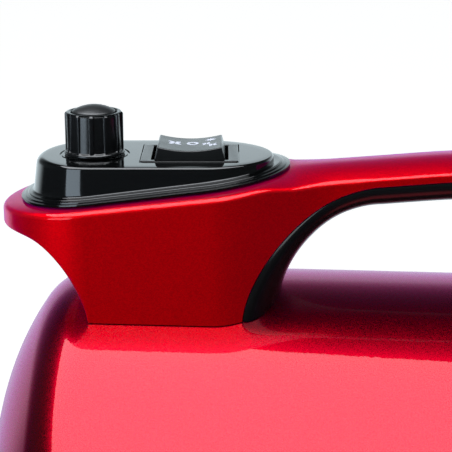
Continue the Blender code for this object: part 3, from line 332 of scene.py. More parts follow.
def metal(name, light, dark, rough=0.28, lines=(0.2, 6.0, 6.0)):
    """Turned or drawn metal: fine lines along one direction and a few dull patches."""
    material, tree = new_material(name, Metallic=1.0)
    place = millimetres(tree)
    drawn = noise(tree, stretched(tree, place, lines), 1.0, 4.0, 0.6)
    patches = map_range(tree, noise(tree, place, 0.08, 3.0), 0.35, 0.7)
    return set_shader(
        material, Base_Color=mix_colour(tree, patches, light, dark),
        Roughness=map_range(tree, drawn, 0.3, 0.7, rough, rough + 0.18),
        Normal=bump(tree, drawn, 0.15, 0.03))


def speckled(name, first, second, scale, rough, lift):
    """Dull two-tone surface: mica, ceramic, carbon or a coated board."""
    material, tree = new_material(name, IOR=1.45)
    spots = noise(tree, millimetres(tree), scale, 5.0, 0.7)
    share = map_range(tree, spots, 0.4, 0.62)
    return set_shader(
        material, Base_Color=mix_colour(tree, share, first, second),
        Roughness=map_range(tree, spots, 0.3, 0.7, rough, rough + 0.15),
        Normal=bump(tree, spots, lift, 0.1))


def foam_look():
    """Open-cell filter foam: dark pores between pale struts."""
    material, tree = new_material("foam_look", Roughness=0.95)
    cells = add_node(tree, "TexVoronoi", {"Vector": millimetres(tree), "Scale": 0.9},
                     feature='DISTANCE_TO_EDGE')
    strut = map_range(tree, cells.outputs["Distance"], 0.03, 0.22, 1.0, 0.0)
    return set_shader(
        material, Base_Color=mix_colour(tree, strut, (0.008, 0.008, 0.009), (0.10, 0.10, 0.105)),
        Normal=bump(tree, strut, 1.0, 0.6))


def ink():
    """Pale pad-printed ink, slightly patchy, with a painted glow: a little emission so that it reads on
    the gloss.
    """
    # Emission_Strength gives the ink a painted glow of its own, brighter than the lamps alone would make
    # it.
    material, tree = new_material("print_look", Roughness=0.6, Emission_Strength=0.8)
    patch = noise(tree, millimetres(tree), 1.5, 3.0)
    # The pale ink colour is also used as the emission colour, so the painted glow has the ink's tint.
    pale = mix_colour(tree, patch, (0.60, 0.66, 0.82), (0.80, 0.86, 1.0))
    return set_shader(
        material, Base_Color=pale, Emission_Color=pale)


LOOKS = {
    "red_enamel": enamel("red_enamel_look", HANDLE_COAT, 0.7, 0.80, 0.003, 0.38, 0.9),
    "canister_enamel": enamel("canister_enamel_look", CANISTER_COAT, 1.0, 0.30, 0.008, 0.24, 0.35,
                              (0.72, 0.18, 0.66)),
    "black_gloss": gloss_black("black_gloss_look", (0.0022, 0.0027, 0.0034), 0.06),
    "knob_black": gloss_black("knob_look", (0.0046, 0.0054, 0.0068), 0.20),
    "liner_black": gloss_black("liner_look", (0.0045, 0.0050, 0.0060), 0.16, 0.03, 1.3),
    "satin_black": gloss_black("satin_look", (0.0060, 0.0070, 0.0085), 0.36, 0.03, 1.6),
    "black_matte": grained_plastic("black_matte_look", (0.010, 0.010, 0.011)),
    "black_rubber": rubber(),
    "switch_grey": gloss_black("switch_look", (0.010, 0.012, 0.014), 0.22, 0.04, 1.45),
    "steel": metal("steel_look", (0.62, 0.63, 0.64), (0.48, 0.49, 0.50)),
    "aluminium": metal("aluminium_look", (0.80, 0.81, 0.82), (0.66, 0.67, 0.68), 0.34, (3.0, 3.0, 0.2)),
    "copper": metal("copper_look", (0.80, 0.34, 0.16), (0.62, 0.24, 0.10), 0.30, (0.3, 5.0, 5.0)),
    "brass": metal("brass_look", (0.80, 0.60, 0.26), (0.62, 0.45, 0.17)),
    "board_green": speckled("board_look", (0.012, 0.13, 0.05), (0.02, 0.22, 0.09), 0.5, 0.35, 0.1),
    "amber": speckled("amber_look", (0.70, 0.34, 0.02), (0.60, 0.27, 0.02), 0.3, 0.22, 0.05),
    "foam": foam_look(),
    "carbon": speckled("carbon_look", (0.02, 0.02, 0.02), (0.06, 0.06, 0.06), 2.0, 0.5, 0.3),
    "mica": speckled("mica_look", (0.66, 0.55, 0.36), (0.50, 0.38, 0.22), 0.4, 0.45, 0.2),
    "ceramic_white": speckled("ceramic_look", (0.78, 0.75, 0.66), (0.66, 0.62, 0.52), 0.8, 0.6, 0.2),
    "print_white": ink(),
}


# ---- mesh helpers
def clamp(value):
    return min(1.0, max(0.0, value))


def smoothstep(value):
    value = clamp(value)
    return value * value * (3.0 - 2.0 * value)


def mix(first, second, share):
    return first + (second - first) * share


def spread(first, last, steps):
    """Evenly spaced values, both ends included."""
    return [mix(first, last, step / steps) for step in range(steps + 1)]


def arc(centre, radius, start, end, steps):
    """Points of an arc in a plane, both ends included; angles in degrees."""
    turns = [radians(angle) for angle in spread(start, end, steps)]
    return [(centre[0] + radius * cos(turn), centre[1] + radius * sin(turn)) for turn in turns]


def rounded(outline, radius, steps):
    """Round every corner of a closed outline."""
    points = []
    for index, here in enumerate(outline):
        corner = Vector(here)
        to_before = Vector(outline[index - 1]) - corner
        to_after = Vector(outline[(index + 1) % len(outline)]) - corner
        reach = min(radius, 0.45 * to_before.length, 0.45 * to_after.length)
        start = corner + to_before.normalized() * reach
        end = corner + to_after.normalized() * reach
        for share in spread(0.0, 1.0, steps):
            points.append(tuple(start.lerp(corner, share).lerp(corner.lerp(end, share), share)))
    return points


def skin(rings, loop=False, caps=True, bm=None):
    """Closed bmesh through equal rings of (x, y, z) points, or one more closed body in a bmesh."""
    bm = bm or bmesh.new()
    rows = [[bm.verts.new(point) for point in ring] for ring in rings]
    count = len(rings[0])
    for index in range(len(rows) if loop else len(rows) - 1):
        row, following = rows[index], rows[(index + 1) % len(rows)]
        for step in range(count):
            after = (step + 1) % count
            bm.faces.new((row[step], row[after], following[after], following[step]))
    if caps and not loop:
        bm.faces.new(rows[0])
        bm.faces.new(rows[-1])
    bmesh.ops.remove_doubles(bm, verts=bm.verts, dist=0.0008)
    return bm


def turned(profile, centre, axis='X', segments=128):
    """Spin a (radius, height) outline into a closed bmesh."""
    bm = bmesh.new()
    verts = [bm.verts.new((radius, 0.0, height)) for radius, height in profile]
    edges = [bm.edges.new(pair) for pair in zip(verts, verts[1:])]
    if profile[0][0] > 0.0:
        edges.append(bm.edges.new((verts[-1], verts[0])))
    bmesh.ops.spin(bm, geom=verts + edges, cent=(0.0, 0.0, 0.0), axis=(0.0, 0.0, 1.0),
                   angle=2.0 * pi, steps=segments, use_duplicate=False)
    bmesh.ops.remove_doubles(bm, verts=bm.verts, dist=0.003)
    turn = {'X': Matrix.Rotation(radians(90.0), 4, 'Y'), 'Z': Matrix.Identity(4)}[axis]
    bmesh.ops.transform(bm, matrix=Matrix.Translation(centre) @ turn, verts=bm.verts)
    return bm


def add_object(name, data):
    shape = bpy.data.objects.new(name, data)
    bpy.context.scene.collection.objects.link(shape)
    return shape


def loose_object(bm, name="shape"):
    """Turn a bmesh in millimetres into an object in metres, with its faces looking outward."""
    bmesh.ops.recalc_face_normals(bm, faces=bm.faces)
    bmesh.ops.scale(bm, verts=bm.verts, vec=(MM, MM, MM))
    mesh = bpy.data.meshes.new(name)
    bm.to_mesh(mesh)
    bm.free()
    return add_object(name, mesh)


def combine(shape, tool, operation='DIFFERENCE'):
    """Cut a closed bmesh out of a shape, or join it on."""
    other = loose_object(tool)
    modifier = shape.modifiers.new("combine", 'BOOLEAN')
    modifier.operation = operation
    modifier.solver = 'EXACT'
    modifier.object = other
    graph = bpy.context.evaluated_depsgraph_get()
    result = bpy.data.meshes.new_from_object(shape.evaluated_get(graph))
    shape.modifiers.remove(modifier)
    shape.data = result
    bpy.data.objects.remove(other)


def soften(shape, width, segments, angle):
    """Round the edges that are sharper than an angle in degrees."""
    modifier = shape.modifiers.new("soft_edges", 'BEVEL')
    modifier.width = width * MM
    modifier.segments = segments
    modifier.limit_method = 'ANGLE'
    modifier.angle_limit = radians(angle)


def piece(shape, name, body, look, nodes=(), sharp=30.0):
    """Give a finished shape its name, body, material and the CAD nodes it stands for."""
    if isinstance(shape, bmesh.types.BMesh):
        shape = loose_object(shape, name)
    shape.name = name
    shape.data.name = name
    shape.data.materials.clear()
    shape.data.materials.append(LOOKS[look])
    shape.data.shade_smooth()
    shape.data.set_sharp_from_angle(angle=radians(sharp))
    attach(shape, body)
    if nodes:
        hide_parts(*nodes)
    return shape


# ---- canister
def canister_radius(x):
    return CANISTER_RADIUS - TAPER_SLOPE * max(0.0, x - TAPER_X)


def canister_outline(inset, mouth_radius, end_x):
    """(radius, x) points from the outlet mouth, over dome and shoulder, to the open end."""
    turn = math.degrees(SHOULDER_TURN)
    shoulder_r = CANISTER_RADIUS - SHOULDER_RADIUS
    dome = (shoulder_r - (DOME_RADIUS - SHOULDER_RADIUS) * cos(SHOULDER_TURN), NOSE_X + DOME_RADIUS)
    points = [(mouth_radius, NOSE_X + inset)]
    points += arc(dome, DOME_RADIUS - inset, -90.0, -turn, 18)[:-1]
    points += arc((shoulder_r, SHOULDER_X), SHOULDER_RADIUS - inset, -turn, 0.0, 24)
    stations = spread(SHOULDER_X, TAPER_X, 8)[1:-1] + spread(TAPER_X, end_x, 40)
    return points + [(canister_radius(x) - inset, x) for x in stations]


def canister_tool():
    outline = canister_outline(-GAP, 0.0, CANISTER_END_X)
    return turned(outline + [(0.0, CANISTER_END_X)], AXIS_POINT, segments=CANISTER_SEGMENTS)


def canister():
    """Spun shell with a rolled lip at the outlet and at the open end."""
    across, along = 0.5, 0.4
    ends = (OUTLET_RADIUS + across, CANISTER_END_X - along)
    rim = canister_radius(CANISTER_END_X)
    end_lip = [(rim - across, CANISTER_END_X), (rim - CANISTER_WALL + across, CANISTER_END_X)]
    mouth_lip = [(OUTLET_RADIUS, NOSE_X + CANISTER_WALL - along), (OUTLET_RADIUS, NOSE_X + along)]
    inner = canister_outline(CANISTER_WALL, *ends)
    profile = canister_outline(0.0, *ends) + end_lip + inner[::-1] + mouth_lip
    shape = turned(profile, AXIS_POINT, segments=CANISTER_SEGMENTS)
    body = piece(shape, "canister_body", "housing", "red_enamel", ["canister_shell"], 40.0)
    body.data.materials[0] = LOOKS["canister_enamel"]


# ---- handle
def spline(points, x):
    """Smooth curve through (x, z) points, by cubic pieces with averaged slopes."""
    slopes = []
    for index in range(len(points)):
        before = points[max(0, index - 1)]
        after = points[min(len(points) - 1, index + 1)]
        slopes.append((after[1] - before[1]) / (after[0] - before[0]))
    index = 0
    while index < len(points) - 2 and x > points[index + 1][0]:
        index += 1
    (x0, z0), (x1, z1) = points[index], points[index + 1]
    span = x1 - x0
    share = clamp((x - x0) / span)
    square, cube = share * share, share * share * share
    return (z0 * (2 * cube - 3 * square + 1) + slopes[index] * span * (cube - 2 * square + share)
            + z1 * (3 * square - 2 * cube) + slopes[index + 1] * span * (cube - square))


def deck_z(x):
    return DECK_Z + DECK_SLOPE * (x - DECK_X)


def crown_z(x):
    return deck_z(x) if x < CROWN_LINE[0][0] else spline(CROWN_LINE, x)


def straight_half_width(x):
    """Half width before the rounding of the handle's two ends."""
    neck = NECK_HALF_WIDTH + NECK_WIDENING * clamp((x - PLAN_X) / (NARROWING_X - PLAN_X))
    width = mix(neck, BAR_HALF_WIDTH, smoothstep((x - NARROWING_X) / NARROWING_LENGTH))
    return width + POST_WIDENING * smoothstep((x - OPENING_REAR_X) / POST_WIDENING_LENGTH)


def end_reach(x):
    """How far x is into the rounding of either end, 0 to 1."""
    if x < PLAN_X:
        return min(1.0, (PLAN_X - x) / (PLAN_X - TIP_X))
    return clamp((x - POST_ROUND_X) / POST_ROUND_LENGTH)


def half_width(x):
    return straight_half_width(x) * sqrt(max(0.0, 1.0 - end_reach(x) ** 2))


def plan_normal(x):
    """Outward direction of the handle's side wall in plan, on its +Y side."""
    reach = end_reach(x)
    if reach > 0.0:
        length = PLAN_X - TIP_X if x < PLAN_X else POST_ROUND_LENGTH
        forward = (-reach if x < PLAN_X else reach) / length
        across = sqrt(max(0.0, 1.0 - reach * reach)) / straight_half_width(x)
    else:
        forward = -(half_width(x + 0.05) - half_width(x - 0.05)) / 0.1
        across = 1.0
    size = hypot(forward, across)
    return forward / size, across / size


def top_z(x, y):
    """Height of the handle's top: a nearly flat deck at the neck, crowned along the bar."""
    share = smoothstep((x - CROWN_START_X) / (CROWN_FULL_X - CROWN_START_X))
    drop = mix(DECK_DROP, CROWN_DROP, share)
    power = mix(DECK_POWER, CROWN_POWER, share)
    edge = sqrt(end_reach(x) ** 2 + (y / straight_half_width(x)) ** 2)
    return crown_z(x) - drop * min(1.0, edge) ** power


def parting_z(x):
    """Height of the line where the coloured shell meets the black liner."""
    if x < OPENING_FRONT_X:
        centre, reach = OPENING_FRONT_X, PARTING_FRONT_REACH
    elif x > OPENING_REAR_X:
        centre, reach = OPENING_REAR_X, PARTING_REAR_REACH
    else:
        return crown_z(x) - PARTING_DEPTH
    rise = crown_z(centre) - PARTING_DEPTH - FOOT_LINE_Z
    share = min(1.0, abs(x - centre) / reach)
    if share >= 1.0:
        return BURIED_Z
    return FOOT_LINE_Z + rise * (1.0 - share ** PARTING_POWER) ** (1.0 / PARTING_POWER)


def lower_z(x):
    """Lower edge of the coloured shell: flange floor, concave sweep, foot, then the parting line."""
    if x < NECK_FOOT_X:
        share = clamp((x - SWEEP_CENTRE[0]) / SWEEP_RADII[0])
        sweep = SWEEP_CENTRE[1] + SWEEP_RADII[1] * sqrt(1.0 - share * share)
        softness = 1.2
        low = min(sweep, FLANGE_FLOOR_Z)
        return low - softness * math.log(1.0 + math.exp(-abs(sweep - FLANGE_FLOOR_Z) / softness))
    return parting_z(x)


def shell_stations():
    """Places along X for the sections, close together wherever the outline turns."""
    stations = {TIP_X}
    for step in range(1, 31):
        turn = radians(3.0 * step)
        stations.add(PLAN_X - (PLAN_X - TIP_X) * cos(turn))
        stations.add(POST_ROUND_X + POST_ROUND_LENGTH * sin(turn))
        stations.add(SWEEP_CENTRE[0] + SWEEP_RADII[0] * sin(radians(2.8 * step)))
    for step in range(1, 44):
        across = cos(radians(2.0 * step)) ** (2.0 / PARTING_POWER)
        stations.add(OPENING_FRONT_X - PARTING_FRONT_REACH * across)
        stations.add(OPENING_REAR_X + PARTING_REAR_REACH * across)
    stations.update(spread(PLAN_X, OPENING_FRONT_X - PARTING_FRONT_REACH, 30))
    stations.update(spread(OPENING_FRONT_X, OPENING_REAR_X, 30))
    spacing, kept = 0.03, [TIP_X]
    for x in sorted(stations):
        if kept[-1] + spacing < x <= HANDLE_END_X:
            kept.append(x)
    kept[-1] = HANDLE_END_X
    return kept


def half_ring(x):
    """One side of the handle's section, from its lower edge up to the middle of the top."""
    half = half_width(x)
    nx, ny = plan_normal(x)
    low = lower_z(x)
    slope = (lower_z(x + 0.02) - lower_z(x - 0.02)) / 0.04
    size = hypot(slope, 1.0)
    if x < NECK_FOOT_X:
        mx, mz = -slope / size, 1.0 / size
        edge = FLANGE_EDGE_RADIUS * smoothstep((low - FOOT_LINE_Z) / 5.0)
    else:
        mx, mz = 0.0, 1.0
        edge = PARTING_EDGE_RADIUS / size
    points = []
    for back, up in arc((edge, edge), -edge, 90.0, 0.0, 4):
        points.append((x + mx * up - nx * back, max(0.0, half - ny * back), low + mz * up))
    radius = min(TOP_EDGE_RADIUS, max(0.1, 0.55 * (top_z(x, half) - low - edge)))

    def inward(distance):
        return x - nx * distance, max(0.0, half - ny * distance)

    first, second = top_z(*inward(radius)), top_z(*inward(radius + 0.3))
    tilt = math.atan((second - first) / 0.3)
    inner_x, inner_y = inward(radius * (1.0 - sin(tilt)))
    centre_z = top_z(inner_x, inner_y) - radius * cos(tilt)
    wall_x, _, wall_z = points[-1]
    support = min(0.2, 0.1 / max(0.1, centre_z - wall_z))
    for share in (support, 0.35, 0.65, 1.0 - support):
        here = mix(wall_x, x, share)
        points.append((here, half_width(here), mix(wall_z, centre_z, share)))
    for turn in spread(0.0, pi / 2.0 - tilt, 6):
        points.append((*inward(radius * (1.0 - cos(turn))), centre_z + radius * sin(turn)))
    for turn in spread(0.0, pi / 2.0, 14)[1:]:
        y = inner_y * cos(turn)
        points.append((inner_x, y, top_z(inner_x, y)))
    return points


def handle_shell():
    rings = []
    for x in shell_stations():
        side = half_ring(x)
        rings.append(side + [(px, -py, pz) for px, py, pz in side[-2::-1]])
    shell = loose_object(skin(rings, caps=False))
    combine(shell, canister_tool())
    piece(shell, "handle_cover", "housing", "red_enamel", ["handle_shell"], 34.0)


def quarter(reach, rise, power, turn):
    return reach * cos(turn) ** (2.0 / power), rise * sin(turn) ** (2.0 / power)


def liner_station(centre, direction, parting_reach, grip_reach, angle):
    turn = radians(angle)
    rise = crown_z(centre) - PARTING_DEPTH - FOOT_LINE_Z
    outer = quarter(parting_reach, rise, PARTING_POWER, turn)
    inner = quarter(grip_reach, rise - LINER_DEPTH, GRIP_POWER, turn)
    parting = (centre + direction * outer[0], FOOT_LINE_Z + outer[1])
    grip = (centre + direction * inner[0], FOOT_LINE_Z + inner[1])
    return parting, grip, half_width(parting[0])


def liner_rail():
    """Parting point, grip point and half width all along the liner, from front foot to rear foot."""
    front = (OPENING_FRONT_X, -1.0, PARTING_FRONT_REACH, GRIP_FRONT_REACH)
    rear = (OPENING_REAR_X, 1.0, PARTING_REAR_REACH, GRIP_REAR_REACH)
    rail = [liner_station(*front, 3.0 * step) for step in range(30)]
    for x in spread(OPENING_FRONT_X, OPENING_REAR_X, 24):
        rail.append(((x, parting_z(x)), (x, parting_z(x) - LINER_DEPTH), half_width(x)))
    return rail + [liner_station(*rear, 3.0 * step) for step in range(29, -1, -1)]


def liner_section(parting, grip, width, inset):
    """Half an ellipse from one parting line, round the grip side, to the other."""
    depth = math.dist(parting, grip)
    direction = ((grip[0] - parting[0]) / depth, (grip[1] - parting[1]) / depth)
    edge = 0.35 if inset == 0.0 else 0.0
    points = []
    steps = 36
    for step in range(steps + 1):
        turn = pi * step / steps
        y = (width - inset) * cos(turn)
        out = GAP + (depth - GAP - inset) * sin(turn)
        if step in (0, steps):
            y -= math.copysign(edge, y)
        points.append((parting[0] + direction[0] * out, y, parting[1] + direction[1] * out))
    return points


def handle_liner():
    rail = liner_rail()
    front, rear = (((parting[0], BURIED_Z), (grip[0], BURIED_Z), width)
                   for parting, grip, width in (rail[0], rail[-1]))
    rings = []
    for parting, grip, width in [front] + rail + [rear]:
        outer, inner = (liner_section(parting, grip, width, inset) for inset in (0.0, LINER_WALL))
        rings.append(outer + inner[::-1])
    liner = loose_object(skin(rings))
    combine(liner, canister_tool())
    piece(liner, "handle_underside", "housing", "liner_black", ["handle_liner"], 40.0)


# ---- control pod
def pod_outline(offset):
    """(x, y) points of the pod's plan, grown by an offset."""
    points = []
    ends = ((POD_RIGHT_X, POD_RIGHT_REACH, -90.0), (POD_LEFT_X, POD_LEFT_REACH, 90.0))
    for centre_x, reach, start in ends:
        for across, along in arc((0.0, 0.0), 1.0, start, start + 180.0, 48):
            points.append((centre_x + (reach + offset) * across, (POD_HALF_WIDTH + offset) * along))
    return points


def pod_lip_ring(offset, height):
    return [(x, y, deck_z(x) + height) for x, y in pod_outline(offset)]


def pod_wall_ring(height, inset=0.0, out=0.0):
    """Ring on the drafted wall, a height above the sloping deck."""
    ring = []
    for (x0, y0), (x1, y1) in zip(pod_outline(1.0 - inset + out), pod_outline(2.0 - inset + out)):
        z = min(deck_z(x0) + height, POD_WALL_Z - 0.05)
        growth = POD_DRAFT * (POD_WALL_Z - z)
        ring.append((mix(x0, x1, growth), mix(y0, y1, growth), z))
    return ring


def pod_rim_ring(angle, below=0.0):
    """Ring on the rounded top edge, which is fuller round the tip than along the sides."""
    ring = []
    turn, draft = radians(angle), radians(POD_DRAFT_ANGLE)
    for (x0, y0), (x1, y1) in zip(pod_outline(0.0), pod_outline(1.0)):
        tip = max(0.0, (POD_LEFT_X - x0) / POD_LEFT_REACH)
        radius = mix(POD_RIM_RADIUS, POD_TIP_RIM_RADIUS, tip * tip)
        start_z = POD_TOP_Z - radius + radius * sin(draft)
        centre = 1.0 + POD_DRAFT * (POD_WALL_Z - start_z) - radius * cos(draft)
        offset = centre + radius * cos(turn) + below * POD_DRAFT
        z = POD_TOP_Z - radius + radius * sin(turn) - below
        ring.append((mix(x0, x1, offset), mix(y0, y1, offset), z))
    return ring


def pod():
    """Control pod: drafted wall, rounded rim and a lip of three shallow sloping steps on the deck."""
    rings = [
        [(x, y, POD_TOP_Z - POD_CEILING) for x, y in pod_outline(1.0 - POD_WALL)],
        pod_wall_ring(GAP, POD_WALL),
        pod_lip_ring(POD_LIP - 0.1, GAP),
        pod_lip_ring(POD_LIP, GAP + 0.1),
    ]
    for index, edge in enumerate(POD_LIP_EDGES):
        offset = POD_LIP - POD_STEP_LENGTH * index
        height = POD_FIRST_STEP + POD_STEP_HEIGHT * index
        slope = [(-edge - 0.1, 0.012), (0.1 - POD_STEP_LENGTH, 0.125), (0.02 - POD_STEP_LENGTH, 0.14)]
        for inward, rise in arc((-edge, -edge), edge, 0.0, 76.0, 4) + slope:
            rings.append(pod_lip_ring(offset + inward, height + rise))
    fillet = ((0.42, 2.16), (0.20, 2.24), (0.07, 2.42), (0.02, 2.8), (0.0, 4.2))
    rings += [pod_wall_ring(height, 0.0, out) for out, height in fillet]
    rings.append(pod_rim_ring(POD_DRAFT_ANGLE, 0.12))
    rings += [pod_rim_ring(angle) for angle in spread(POD_DRAFT_ANGLE, 90.0, 8)]
    rings.append([(x, y, POD_TOP_Z) for x, y in pod_outline(-2.9)])
    shape = loose_object(skin(rings))
    for (length, width), floor_z in ((ROCKER_BEZEL, POD_TOP_Z - 1.3), (ROCKER_HOUSING, BELOW_POD_Z)):
        half_x, half_y = length / 2.0 + GAP, width / 2.0 + GAP
        combine(shape, box_tool((ROCKER_X - half_x, -half_y, floor_z),
                                (ROCKER_X + half_x, half_y, ABOVE_POD_Z)))
    for inner, outer, depth, segments in ((10.6, 11.3, 0.35, 96), (0.0, 4.8, 4.0, 48)):
        outline = [(inner, -depth), (outer, -depth), (outer, 2.0), (inner, 2.0)]
        combine(shape, turned(outline, KNOB_POINT, 'Z', segments))
    piece(shape, "pod_moulding", "housing", "black_gloss", ["control_pod"], 28.0)


def box_tool(low, high):
    bm = bmesh.new()
    bmesh.ops.create_cube(bm, size=1.0)
    size = [high[axis] - low[axis] for axis in range(3)]
    middle = [(high[axis] + low[axis]) / 2.0 for axis in range(3)]
    bmesh.ops.scale(bm, verts=bm.verts, vec=size)
    bmesh.ops.translate(bm, verts=bm.verts, vec=middle)
    return bm


# ---- rocker switch
def rectangle(half_x, half_y, corner, z):
    """Ring of a rounded rectangle round the switch's middle."""
    points = []
    for sign_x, sign_y, start in ((1, 1, 0.0), (-1, 1, 90.0), (-1, -1, 180.0), (1, -1, 270.0)):
        centre = (ROCKER_X + sign_x * (half_x - corner), sign_y * (half_y - corner))
        points += [(x, y, z) for x, y in arc(centre, corner, start, start + 90.0, 5)]
    return points


def rocker_frame():
    """Snap-in bezel of the switch with a rounded rim and a clear gap round the actuator."""
    (outer_x, outer_y), (inner_x, inner_y), (body_x, body_y) = (
        (length / 2.0, width / 2.0) for length, width in (ROCKER_BEZEL, ROCKER_OPENING, ROCKER_HOUSING))
    seat, top, outer_edge, inner_edge = POD_TOP_Z - 1.0, POD_TOP_Z + 0.3, 0.35, 0.25
    rings = [rectangle(body_x, body_y, 0.8, SWITCH_FOOT_Z), rectangle(body_x, body_y, 0.8, seat),
             rectangle(outer_x, outer_y, 1.0, seat)]
    for offset, height in arc((-outer_edge, top - outer_edge), outer_edge, 0.0, 90.0, 4):
        rings.append(rectangle(outer_x + offset, outer_y + offset, 1.0, height))
    for offset, height in arc((inner_edge, top - inner_edge), inner_edge, 90.0, 180.0, 4):
        rings.append(rectangle(inner_x + offset, inner_y + offset, 0.6, height))
    rings += [rectangle(inner_x, inner_y, 0.6, SWITCH_WELL_Z),
              rectangle(inner_x - 3.0, inner_y - 3.0, 0.6, SWITCH_WELL_Z),
              rectangle(body_x - 4.0, body_y - 4.0, 0.8, SWITCH_FOOT_Z)]
    piece(skin(rings, loop=True), "switch_frame", "housing", "liner_black", ["rocker_housing"], 30.0)


def actuator_top(x):
    share = (x - ROCKER_X) / ACTUATOR_TOP_REACH
    return POD_TOP_Z + SADDLE_HEIGHT + SADDLE_DEPTH * share * share


def rocker():
    """Saddle-topped actuator with softened edges; its lower part turns inside the frame."""
    base_z = POD_TOP_Z - 0.5
    rings = []
    for share in spread(-1.0, 1.0, 26):
        top_x = ROCKER_X + ACTUATOR_TOP_REACH * share
        base_x = ROCKER_X + ACTUATOR_BASE_REACH * share
        top_z_here = actuator_top(top_x)
        rings.append([(top_x, -ACTUATOR_TOP_HALF, top_z_here), (top_x, ACTUATOR_TOP_HALF, top_z_here),
                      (base_x, ACTUATOR_BASE_HALF, base_z), (base_x, -ACTUATOR_BASE_HALF, base_z)])
    upper = loose_object(skin(rings))
    reach, depth, shoulder_z, lower_half = 10.6, 7.5, -1.0, 9.4
    outline = [(-11.0, 2.7), (11.0, 2.7)]
    outline += [(reach * x, shoulder_z - depth * z) for x, z in arc((0.0, 0.0), 1.0, 0.0, 180.0, 30)]
    lower = skin([[(ROCKER_X + x, y, ROCKER_SPLIT_Z + z) for x, z in outline]
                  for y in (-lower_half, lower_half)])
    combine(upper, lower, 'UNION')
    soften(upper, 0.42, 4, 38.0)
    piece(upper, "switch_actuator", "rocker", "switch_grey", ["rocker_actuator"], 30.0)


def symbol(name, outlines):
    """Printed mark: flat shapes (x, y from the actuator's middle) laid on its curved top."""
    bm = bmesh.new()
    for outline in outlines:
        lower, upper = [], []
        for x, y in outline:
            z = actuator_top(ROCKER_X + x)
            lower.append(bm.verts.new((ROCKER_X + x, y, z - PRINT_LIFT)))
            upper.append(bm.verts.new((ROCKER_X + x, y, z + PRINT_LIFT)))
        bm.faces.new(upper)
        bm.faces.new(lower[::-1])
        for index in range(len(outline)):
            after = (index + 1) % len(outline)
            bm.faces.new((lower[index], lower[after], upper[after], upper[index]))
    piece(bm, name, "rocker", "print_white", (), 30.0)


def blade_outlines(centre, radius):
    """Four rounded fan blades round a centre, each set at a slight pitch."""
    blades = []
    for index in range(4):
        turn = radians(90.0 * index + 45.0)
        lean = turn + radians(14.0)
        x, y = centre[0] + 0.56 * radius * cos(turn), centre[1] + 0.56 * radius * sin(turn)
        ellipse = [(0.46 * radius * a, 0.25 * radius * b) for a, b in arc((0.0, 0.0), 1.0, 0.0, 330.0, 11)]
        blades.append([(x + a * cos(lean) - b * sin(lean), y + a * sin(lean) + b * cos(lean))
                       for a, b in ellipse])
    return blades


def ring_outlines(centre, outer, inner, parts=24):
    """A ring cut into short flat pieces, so that it follows the curved top."""
    cuts = spread(0.0, 360.0, parts)
    return [arc(centre, outer, start, end, 1) + arc(centre, inner, end, start, 1)
            for start, end in zip(cuts, cuts[1:])]


def sun_outlines(centre, radius, rays=8):
    points = []
    for index in range(2 * rays):
        reach = radius if index % 2 == 0 else radius * 0.42
        points += arc(centre, reach, 180.0 * index / rays, 180.0 * index / rays, 1)[:1]
    return [points]


def rocker_symbols():
    symbol("mark_fan", blade_outlines(*FAN_MARK))
    symbol("mark_off", ring_outlines(*OFF_MARK))
    twins = [blade for mark in TWIN_FAN_MARKS for blade in blade_outlines(*mark)]
    symbol("mark_heat", sun_outlines(*SUN_MARK) + twins)


# ---- airflow knob
def knob_reach(turn, height):
    """Radius of the knob's side: wide tapering flutes, round at the foot and open at the top."""
    foot, mouth, shoulder = 1.2, 13.6, 13.2
    radius = KNOB_RADIUS + 0.5 * KNOB_FLARE * (1.0 - smoothstep((height - 0.9) / 0.6))
    radius += 0.5 * KNOB_FLARE * (1.0 - smoothstep((height - 0.6) / 1.1))
    if height > shoulder:
        radius -= 0.6 * ((height - shoulder) / 0.6) ** 1.6
    pitch = 2.0 * pi / KNOB_FLUTES
    across = abs(((turn / pitch) % 1.0) - 0.5) * 2.0
    end = foot + 0.55 * max(0.0, (across - 0.25) / 0.75) ** 2
    flute = 1.0 - smoothstep((across - 0.70) / 0.11)
    flute *= smoothstep((height - end) / 0.45) * (1.0 - smoothstep((height - mouth) / 0.2))
    depth = 0.42 + 0.033 * height
    return radius - depth * flute


def knob():
    """Fluted skirt round a recess, and the low dome that fills it."""
    segments = KNOB_FLUTES * 30
    turns = [2.0 * pi * step / segments for step in range(segments)]
    heights = [0.5, 0.6, 0.75, 0.9, 1.0, 1.1, 1.2, 1.3, 1.4, 1.5, 1.6, 1.72, 1.85, 2.0, 2.2, 2.5, 3.2,
               5.0, 7.0, 9.0, 11.0, 12.6, 13.2, 13.35, 13.47, 13.58, 13.68, 13.78]
    bore = [(3.3, 9.6), (3.3, 3.4), (6.8, 3.4), (6.8, 0.5), (KNOB_RADIUS, 0.5)]
    recess = [(8.5, 13.87), (8.1, 13.9), (7.75, 13.85), (7.5, 13.7), (7.38, 13.4), (7.3, 9.6)]
    rings = [[point] * segments for point in bore]
    rings += [[(knob_reach(turn, height), height) for turn in turns] for height in heights]
    rings += [[point] * segments for point in recess]
    placed = []
    for ring in rings:
        placed.append([(KNOB_X + radius * cos(turn), radius * sin(turn), POD_TOP_Z + height)
                       for turn, (radius, height) in zip(turns, ring)])
    piece(skin(placed, loop=True), "knob_skirt", "knob_assembly", "knob_black", ["knob"], 50.0)

    sphere = (DOME_EDGE * DOME_EDGE + DOME_RISE * DOME_RISE) / (2.0 * DOME_RISE)
    cap = [(0.0, 9.9), (6.2, 9.9), (6.7, 10.3), (6.9, 10.8), (6.9, 13.8), (6.87, 14.0)]
    for radius in spread(DOME_EDGE, 0.0, 18):
        cap.append((radius, DOME_TOP - sphere + sqrt(sphere * sphere - radius * radius)))
    piece(turned(cap, KNOB_POINT, 'Z', 96), "knob_dome", "knob_assembly", "satin_black",
          ["knob_cap"], 40.0)


